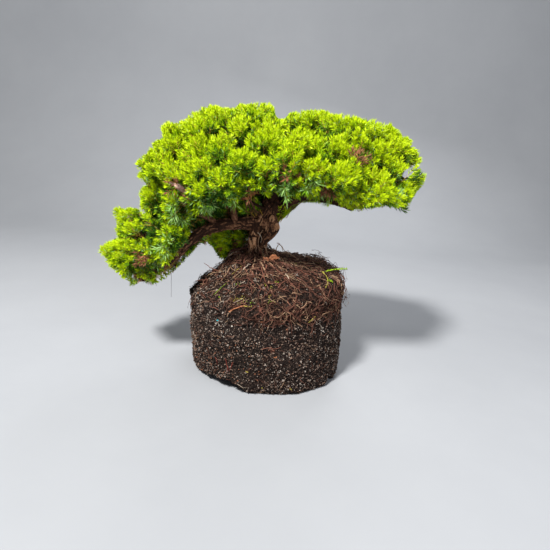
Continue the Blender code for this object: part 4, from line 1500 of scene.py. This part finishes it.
def build_grains(points, faces, rng):
    """Thousands of sharp grains of grit, bedded in the soil."""

    def weight(middle, normal):
        matted = (normal[:, 2] > 0.45) | (middle[:, 2] > 6.6)
        out = np.where(matted & (middle[:, 0] > -3.2), 0.22, 1.0)
        return np.where(normal[:, 2] < -0.5, 0.0, out)

    n = 20000
    at, normal = sample_skin(points, faces, n, weight, rng)
    size = np.exp(rng.normal(math.log(0.044), 0.36, n)).clip(0.025, 0.12)
    turn = unit(rng.normal(size=(n, 3)))
    other = unit(np.cross(turn, rng.normal(size=(n, 3))))
    basis = np.stack([turn, other, np.cross(turn, other)], 1)
    stretch = rng.uniform(0.6, 1.5, (n, 1, 3)) * (1 + rng.normal(0, 0.2, (n, 4, 1)))
    local = TETRAHEDRON[None] * stretch * size[:, None, None]
    grains = np.einsum("nij,njk->nik", local, basis) + (at + normal * (size * 0.3)[:, None])[:, None]
    grains[:, :, 2] = np.maximum(grains[:, :, 2], 0.0)
    index = (TETRA_FACES[None] + (np.arange(n) * 4)[:, None, None]).reshape(-1, 3)
    draw = rng.random(n)
    upper_left = ((at[:, 0] < -2.0) & (at[:, 2] > 5.0)).astype(float)
    patch = np.array([noise.noise(Vector(p) * 0.5) for p in at])
    draw = draw + 0.10 * upper_left + 0.25 * patch
    dealt = np.digitize(draw, [0.34, 0.76, 1.00, 1.6])
    dealt[(rng.random(n) < 0.035) & (size < 0.052)] = 3
    rust = rng.random(n) < 0.03 + 0.07 * ((at[:, 2] < 4.5) & (at[:, 0] < -1.5))
    dealt[rust] = 4
    piece = write_mesh(
        "root_ball_grains", grains.reshape(-1, 3), index, GRAIN_MATERIALS, np.repeat(dealt, 4)
    )
    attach(piece, "root")


def creep(starts, headings, tree, steps, stride, lift, wander, rng):
    """Paths that creep over the ball from their starts, kept near its skin."""
    n = len(starts)
    paths = np.empty((n, steps, 3))
    place, heading = starts.copy(), headings.copy()
    height = lift * rng.random(n)
    for i in range(steps):
        height = np.clip(height + rng.normal(0, 0.35 * lift, n), 0.0, 1.6 * lift)
        for k in range(n):
            hit, normal, _, _ = tree.find_nearest(Vector(place[k]))
            nrm = np.array(normal)
            place[k] = np.array(hit) + nrm * 0.02
            paths[k, i] = place[k] + nrm * height[k]
            h = heading[k] - nrm * (heading[k] @ nrm)
            heading[k] = h / max(np.linalg.norm(h), 1e-6)
        heading = unit(heading + wander * rng.normal(size=(n, 3)))
        place = place + heading * stride[:, None]
    return paths


TRUNK_FOOT = np.array([-1.75, 0.2, 10.6])

# single roots and stray bits that stand out: (colour, radius at the start, at the end, knots)
RED, TAN, WHITISH, ORANGE, GREEN, YELLOW, BLUE, WINE = 2, 3, 4, 5, 6, 7, 8, 9
NAMED_ROOTS = (
    # the sprouting sprig at the right of the mat
    (GREEN, 0.075, 0.055, ((3.74, -2.0, 9.00), (4.2, -2.05, 9.58), (4.73, -2.0, 9.80), (5.56, -2.1, 10.00), (6.18, -2.1, 10.06))),
    # roots that stand out to the left
    (RED, 0.060, 0.022, ((-4.90, -1.2, 7.80), (-5.60, -1.4, 7.98), (-6.20, -1.5, 8.00), (-6.95, -1.5, 7.86))),
    (RED, 0.055, 0.020, ((-4.10, -1.2, 8.70), (-5.10, -1.4, 8.92), (-5.70, -1.5, 9.20), (-6.25, -1.5, 9.52))),
    (RED, 0.024, 0.012, ((-5.10, -1.4, 8.92), (-5.55, -1.4, 8.80), (-5.95, -1.45, 8.86))),
    # pale threads in the crevice of the trunk
    (TAN, 0.040, 0.022, ((-1.30, -0.85, 12.70), (-1.52, -0.90, 12.30), (-1.62, -0.92, 11.80), (-1.60, -0.95, 11.30), (-1.48, -1.00, 10.85))),
    (WHITISH, 0.026, 0.016, ((-1.72, -0.85, 12.45), (-1.52, -0.92, 12.25), (-1.38, -0.92, 11.95), (-1.42, -0.94, 11.60))),
    (TAN, 0.060, 0.030, ((-1.10, -0.85, 11.36), (-0.95, -0.90, 11.05), (-0.78, -0.95, 10.70), (-0.66, -1.05, 10.35))),
    (TAN, 0.040, 0.020, ((-1.75, -0.80, 11.20), (-1.80, -0.95, 10.80), (-1.70, -1.10, 10.40))),
    # curved pale roots that stand up at the right of the trunk
    (TAN, 0.042, 0.024, ((-0.30, -0.35, 10.50), (-0.05, -0.32, 10.95), (0.15, -0.30, 11.38), (0.42, -0.30, 11.30), (0.70, -0.32, 10.95), (1.28, -0.35, 10.62))),
    (TAN, 0.036, 0.020, ((0.00, -0.35, 11.55), (0.20, -0.32, 11.50), (0.50, -0.30, 11.10), (0.62, -0.30, 10.55))),
    (TAN, 0.036, 0.020, ((-0.60, -0.40, 10.90), (-0.20, -0.45, 10.98), (0.10, -0.40, 10.70), (0.20, -0.40, 10.40))),
    (TAN, 0.036, 0.020, ((0.55, -0.40, 10.75), (1.00, -0.45, 10.72), (1.50, -0.40, 10.50), (2.00, -0.40, 10.20))),
    # threads that hang from the low bough
    (0, 0.013, 0.010, ((-10.26, -2.1, 8.10), (-10.27, -2.1, 7.70), (-10.26, -2.1, 7.32))),
    (0, 0.015, 0.010, ((-8.96, -2.1, 8.60), (-8.95, -2.1, 7.60), (-8.95, -2.1, 6.40))),
)
# others lie on the ball, under spots of the frame: (colour, radii, lift, spots)
LAID_ROOTS = (
    (TAN, 0.100, 0.045, 0.16, ((256, 256), (260, 263), (263.5, 270), (266.5, 278), (269.5, 285))),
    (TAN, 0.085, 0.040, 0.16, ((254, 252), (253.5, 260), (254, 268), (252, 276))),
    (RED, 0.070, 0.030, 0.12, ((252, 266), (252.5, 274), (251, 283), (250, 291))),
    (TAN, 0.050, 0.030, 0.14, ((259, 276.5), (264, 277.5), (270, 277.5))),
    (TAN, 0.045, 0.022, 0.12, ((289, 296), (294, 302), (300, 309))),
    (YELLOW, 0.034, 0.018, 0.08, ((315, 316), (312, 319.5), (308.5, 323))),
    (TAN, 0.060, 0.030, 0.16, ((240, 258), (233, 265), (226, 275), (219, 285))),
    (YELLOW, 0.040, 0.022, 0.15, ((248, 262), (243, 266), (237, 271), (231, 275))),
    (TAN, 0.045, 0.022, 0.15, ((247, 266), (240, 273), (232, 279))),
    (GREEN, 0.018, 0.010, 0.10, ((227, 283), (221, 289), (214, 296))),
    (ORANGE, 0.060, 0.040, 0.14, ((229, 312.5), (237, 309.5), (245, 307))),
    (YELLOW, 0.040, 0.036, 0.14, ((244, 307.3), (248, 306.6), (251.5, 306.5))),
    (YELLOW, 0.055, 0.040, 0.26, ((320, 273), (324, 278), (327, 283), (326, 290))),
    (GREEN, 0.050, 0.035, 0.26, ((326, 283), (330, 282), (333, 284))),
    (TAN, 0.050, 0.024, 0.16, ((318, 286), (322, 293), (328, 299), (336, 303))),
    (RED, 0.080, 0.030, 0.14, ((262, 254), (270, 264), (280, 274), (290, 284))),
    (RED, 0.075, 0.030, 0.14, ((266, 254), (280, 260), (294, 268), (306, 276))),
    (RED, 0.060, 0.024, 0.14, ((258, 258), (262, 272), (268, 286), (276, 297))),
    (WINE, 0.040, 0.020, 0.05, ((225.5, 358), (227, 364), (228, 369), (227, 373))),
    (WINE, 0.034, 0.018, 0.05, ((233, 362), (231, 367), (229, 371))),
    (WINE, 0.030, 0.014, 0.05, ((215.5, 357), (217, 361), (217.5, 365))),
    (RED, 0.030, 0.016, 0.05, ((300, 380), (305, 384), (309, 388))),
    (RED, 0.034, 0.016, 0.05, ((262, 349), (268, 348), (275, 349), (281, 347))),
)
# small clumps of moss, grit and stray specks: (colour, x, y, spread, number, size)
SPECKS = (
    (YELLOW, 241, 300, 5.0, 34, 0.055), (YELLOW, 235, 301, 3.0, 10, 0.050),
    (GREEN, 273, 303, 4.0, 12, 0.050), (YELLOW, 270, 298, 2.5, 7, 0.050), (GREEN, 250, 303, 5.0, 10, 0.045),
    (GREEN, 266.5, 285, 1.5, 7, 0.060), (GREEN, 276, 282.5, 1.5, 8, 0.060), (YELLOW, 272, 288, 2.0, 6, 0.055),
    (GREEN, 296, 264, 1.6, 8, 0.060), (GREEN, 220.5, 297.5, 0.7, 4, 0.060), (GREEN, 240, 285, 3.0, 6, 0.045),
    (YELLOW, 247, 372, 0.6, 4, 0.070), (YELLOW, 262, 388, 0.5, 3, 0.070), (YELLOW, 291, 389, 1.0, 4, 0.065),
    (BLUE, 217, 320.3, 0.45, 4, 0.075), (ORANGE, 276, 357.5, 1.2, 6, 0.085), (RED, 270, 350, 3.5, 9, 0.095),
    (ORANGE, 262, 322, 0.8, 4, 0.080),
)


def on_ball(tree, x, y, lift):
    """The point of the ball's skin that lies under a spot of the frame, and a little off it."""
    toward = AHEAD + (x - 275) / FOCUS * VIEW_X + (275 - y) / FOCUS * VIEW_Y
    hit, normal, _, _ = tree.ray_cast(Vector(EYE), Vector(unit(toward)))
    return None if hit is None else np.array(hit) + np.array(normal) * lift


def add_named_roots(heap, tree):
    """The roots and bits that stand out on their own, and the flake of bark on the mat."""
    rng = np.random.default_rng(31)

    def root(shade, r0, r1, knots):
        path, radii = smooth_path([(k, r) for k, r in zip(knots, np.linspace(r0, r1, len(knots)))], 5)
        path = path + 0.25 * r0 * rng.normal(size=path.shape)
        made, index = tubes(path[None], radii[None], 6)
        heap.add(made, index, shade)
        if shade in (GREEN, YELLOW) and r0 > 0.045:  # small leaves all along a sprig
            for p in path[1:]:
                for _ in range(2):
                    u = unit(rng.normal(size=3) - 0.5 * AHEAD)
                    v = unit(np.cross(u, rng.normal(size=3))) * 0.04
                    foot = p + 0.6 * r0 * u
                    leaf = [foot - v, foot + v, foot + u * rng.uniform(0.10, 0.20), foot + 0.05 * np.cross(u, v)]
                    heap.add(np.array(leaf), TETRA_FACES, shade)

    for shade, r0, r1, knots in NAMED_ROOTS:
        root(shade, r0, r1, knots)
    for shade, r0, r1, lift, spots in LAID_ROOTS:
        knots = [on_ball(tree, x, y, lift) for x, y in spots]
        knots = [k for k in knots if k is not None]
        if len(knots) > 2:
            root(shade, r0, r1, knots)
    for shade, x, y, spread, count, size in SPECKS:
        for _ in range(count):
            dx, dy = rng.normal(size=2) * spread * (0.6, 0.4)
            at = on_ball(tree, x + dx, y + dy, 0.3 * size + 0.10 * (y < 310))
            if at is not None:
                corners = TETRAHEDRON * size * rng.uniform(0.6, 1.2, (4, 1)) * rng.uniform(0.7, 1.3, 3)
                heap.add(corners + at, TETRA_FACES, shade)
    middle = on_ball(tree, 273, 263.0, 0.42)
    made, index = flake(middle, VIEW_X, VIEW_Y - 0.5 * AHEAD, 0.5 * VIEW_Y - AHEAD, 1.4, 0.30)
    heap.add(made, index, ORANGE)


def build_roots(points, faces, rng):
    """The mat of fine roots on the top and over the rim, and the thicker ones at the trunk."""
    tree = BVHTree.FromPolygons([Vector(p) for p in points], faces.tolist())
    heap = Heap()

    def lay(count, weight, steps, stride, lift, wander, thick, fan, shades, fall=0.0):
        at, _ = sample_skin(points, faces, count, weight, rng)
        away = unit(at - TRUNK_FOOT)
        heading = unit(fan * away + rng.normal(size=(count, 3)) + [0, 0, -fall])
        step = stride * rng.uniform(0.7, 1.3, count)
        paths = creep(at, heading, tree, steps, step, lift, wander, rng)
        paths[:, :, 2] = np.maximum(paths[:, :, 2], 0.05)
        radii = np.linspace(1.0, 0.45, steps)[None] * (thick * rng.uniform(0.65, 1.35, count))[:, None]
        made, index = tubes(paths, radii, 3, close_tip=False)
        dealt = rng.choice(5, count, p=shades)
        per = len(index) // count
        heap.add(made, index, np.repeat(dealt, per))

    def top(middle, normal):
        out = np.where(middle[:, 2] > 7.6, 1.0, 0.0)
        out = out * np.interp(middle[:, 0], [-4.5, -1.5], [0.32, 1.0])
        return np.where(np.linalg.norm(middle[:, :2] - [-1.75, 0.2], axis=1) < 1.0, 0.0, out)

    def shoulder(middle, normal):
        right = np.clip((middle[:, 0] + 3.0) / 2.0, 0, 1)
        band = np.exp(-(((middle[:, 2] - 7.5 + 0.2 * right) / (0.45 + 0.1 * right)) ** 2))
        return np.where(normal[:, 2] > 0.7, 0.0, band * (0.35 + 0.65 * right))

    def side(middle, normal):
        return np.where((normal[:, 2] > 0.4) | (normal[:, 2] < -0.4), 0.0, 1.0)

    def foot(middle, normal):
        near = np.linalg.norm(middle[:, :2] - [-1.75, 0.2], axis=1)
        return np.where(middle[:, 2] > 7.2, np.exp(-((near / 2.6) ** 2)), 0.0)

    def stray(middle, normal):
        return np.where((middle[:, 2] > 6.5) & (middle[:, 0] > 3.5), 1.0, 0.0) + 0.25 * top(middle, normal)

    browns = (0.33, 0.31, 0.23, 0.125, 0.005)
    lay(230, foot, 8, 0.34, 0.22, 0.16, 0.048, 2.0, (0.26, 0.34, 0.20, 0.19, 0.01), fall=0.1)
    lay(560, top, 4, 0.42, 0.26, 0.20, 0.046, 0.9, browns)
    lay(950, top, 4, 0.32, 0.32, 0.26, 0.037, 0.5, browns)
    lay(420, top, 3, 0.26, 0.34, 0.20, 0.027, 0.3, (0.10, 0.26, 0.20, 0.38, 0.06))
    lay(120, stray, 5, 0.22, 0.60, 0.40, 0.020, 0.6, (0.20, 0.45, 0.25, 0.10, 0.0))
    lay(860, shoulder, 5, 0.30, 0.20, 0.26, 0.036, 0.4, browns, fall=0.05)
    lay(420, side, 5, 0.20, 0.06, 0.35, 0.022, 0.0, (0.34, 0.40, 0.16, 0.095, 0.005), fall=0.3)
    # short ends that stand in a collar about the trunk's foot
    count = 170
    angle = rng.uniform(0, 2 * np.pi, count)
    out = np.stack([np.cos(angle), np.sin(angle), np.zeros(count)], 1)
    start = TRUNK_FOOT + out * rng.uniform(0.85, 1.15, (count, 1)) + [0, 0, 1.0] * rng.uniform(-0.2, 0.75, (count, 1))
    run = unit(0.9 * out + 0.7 * rng.normal(size=(count, 3)) + [0, 0, -0.75])
    length = rng.uniform(0.35, 0.95, (count, 1))
    bend = start + run * length * 0.5 + rng.normal(0, 0.07, (count, 3))
    paths = bezier(start, bend, start + run * length - [0, 0, 0.12], 4)
    radii = np.linspace(1.0, 0.5, 4)[None] * rng.uniform(0.022, 0.050, (count, 1))
    made, index = tubes(paths, radii, 3, close_tip=False)
    heap.add(made, index, np.repeat(rng.choice(5, count, p=(0.30, 0.34, 0.18, 0.16, 0.02)), len(index) // count))
    # thicker roots that fan out from the trunk's foot
    count = 26
    angle = np.linspace(0, 2 * np.pi, count, endpoint=False) + rng.normal(0, 0.1, count)
    out = np.stack([np.cos(angle), np.sin(angle), np.zeros(count)], 1)
    start = TRUNK_FOOT + out * 0.75 + [0, 0, 0.35]
    heading = unit(out + rng.normal(0, 0.12, (count, 3)))
    paths = creep(start + out * 0.35, heading, tree, 9, rng.uniform(0.35, 0.6, count), 0.12, 0.10, rng)
    paths = np.concatenate([(start - out * 0.1 + [0, 0, 0.25])[:, None], start[:, None], paths], 1)
    radii = np.linspace(1.0, 0.25, 11)[None] ** 1.2 * rng.uniform(0.08, 0.17, (count, 1))
    made, index = tubes(paths, radii, 6)
    heap.add(made, index, np.repeat(rng.choice([1, 1, 2, 3], count), len(index) // count))
    add_named_roots(heap, tree)
    piece = heap.write("root_ball_roots", ROOT_MATERIALS, smooth=True)
    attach(piece, "root")


def build_root_ball():
    points, faces = soil_mesh()
    piece = write_mesh("root_ball_soil", points, faces, [SOIL], smooth=True)
    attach(piece, "root")
    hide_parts("root_ball")
    build_grains(points, faces, np.random.default_rng(21))
    build_roots(points, faces, np.random.default_rng(22))


# ==================================================================== all

add_camera()
add_floor()
add_lights()
LIMB_AXES = grow_limbs()
build_wood(LIMB_AXES)
build_foliage(LIMB_AXES)
build_root_ball()
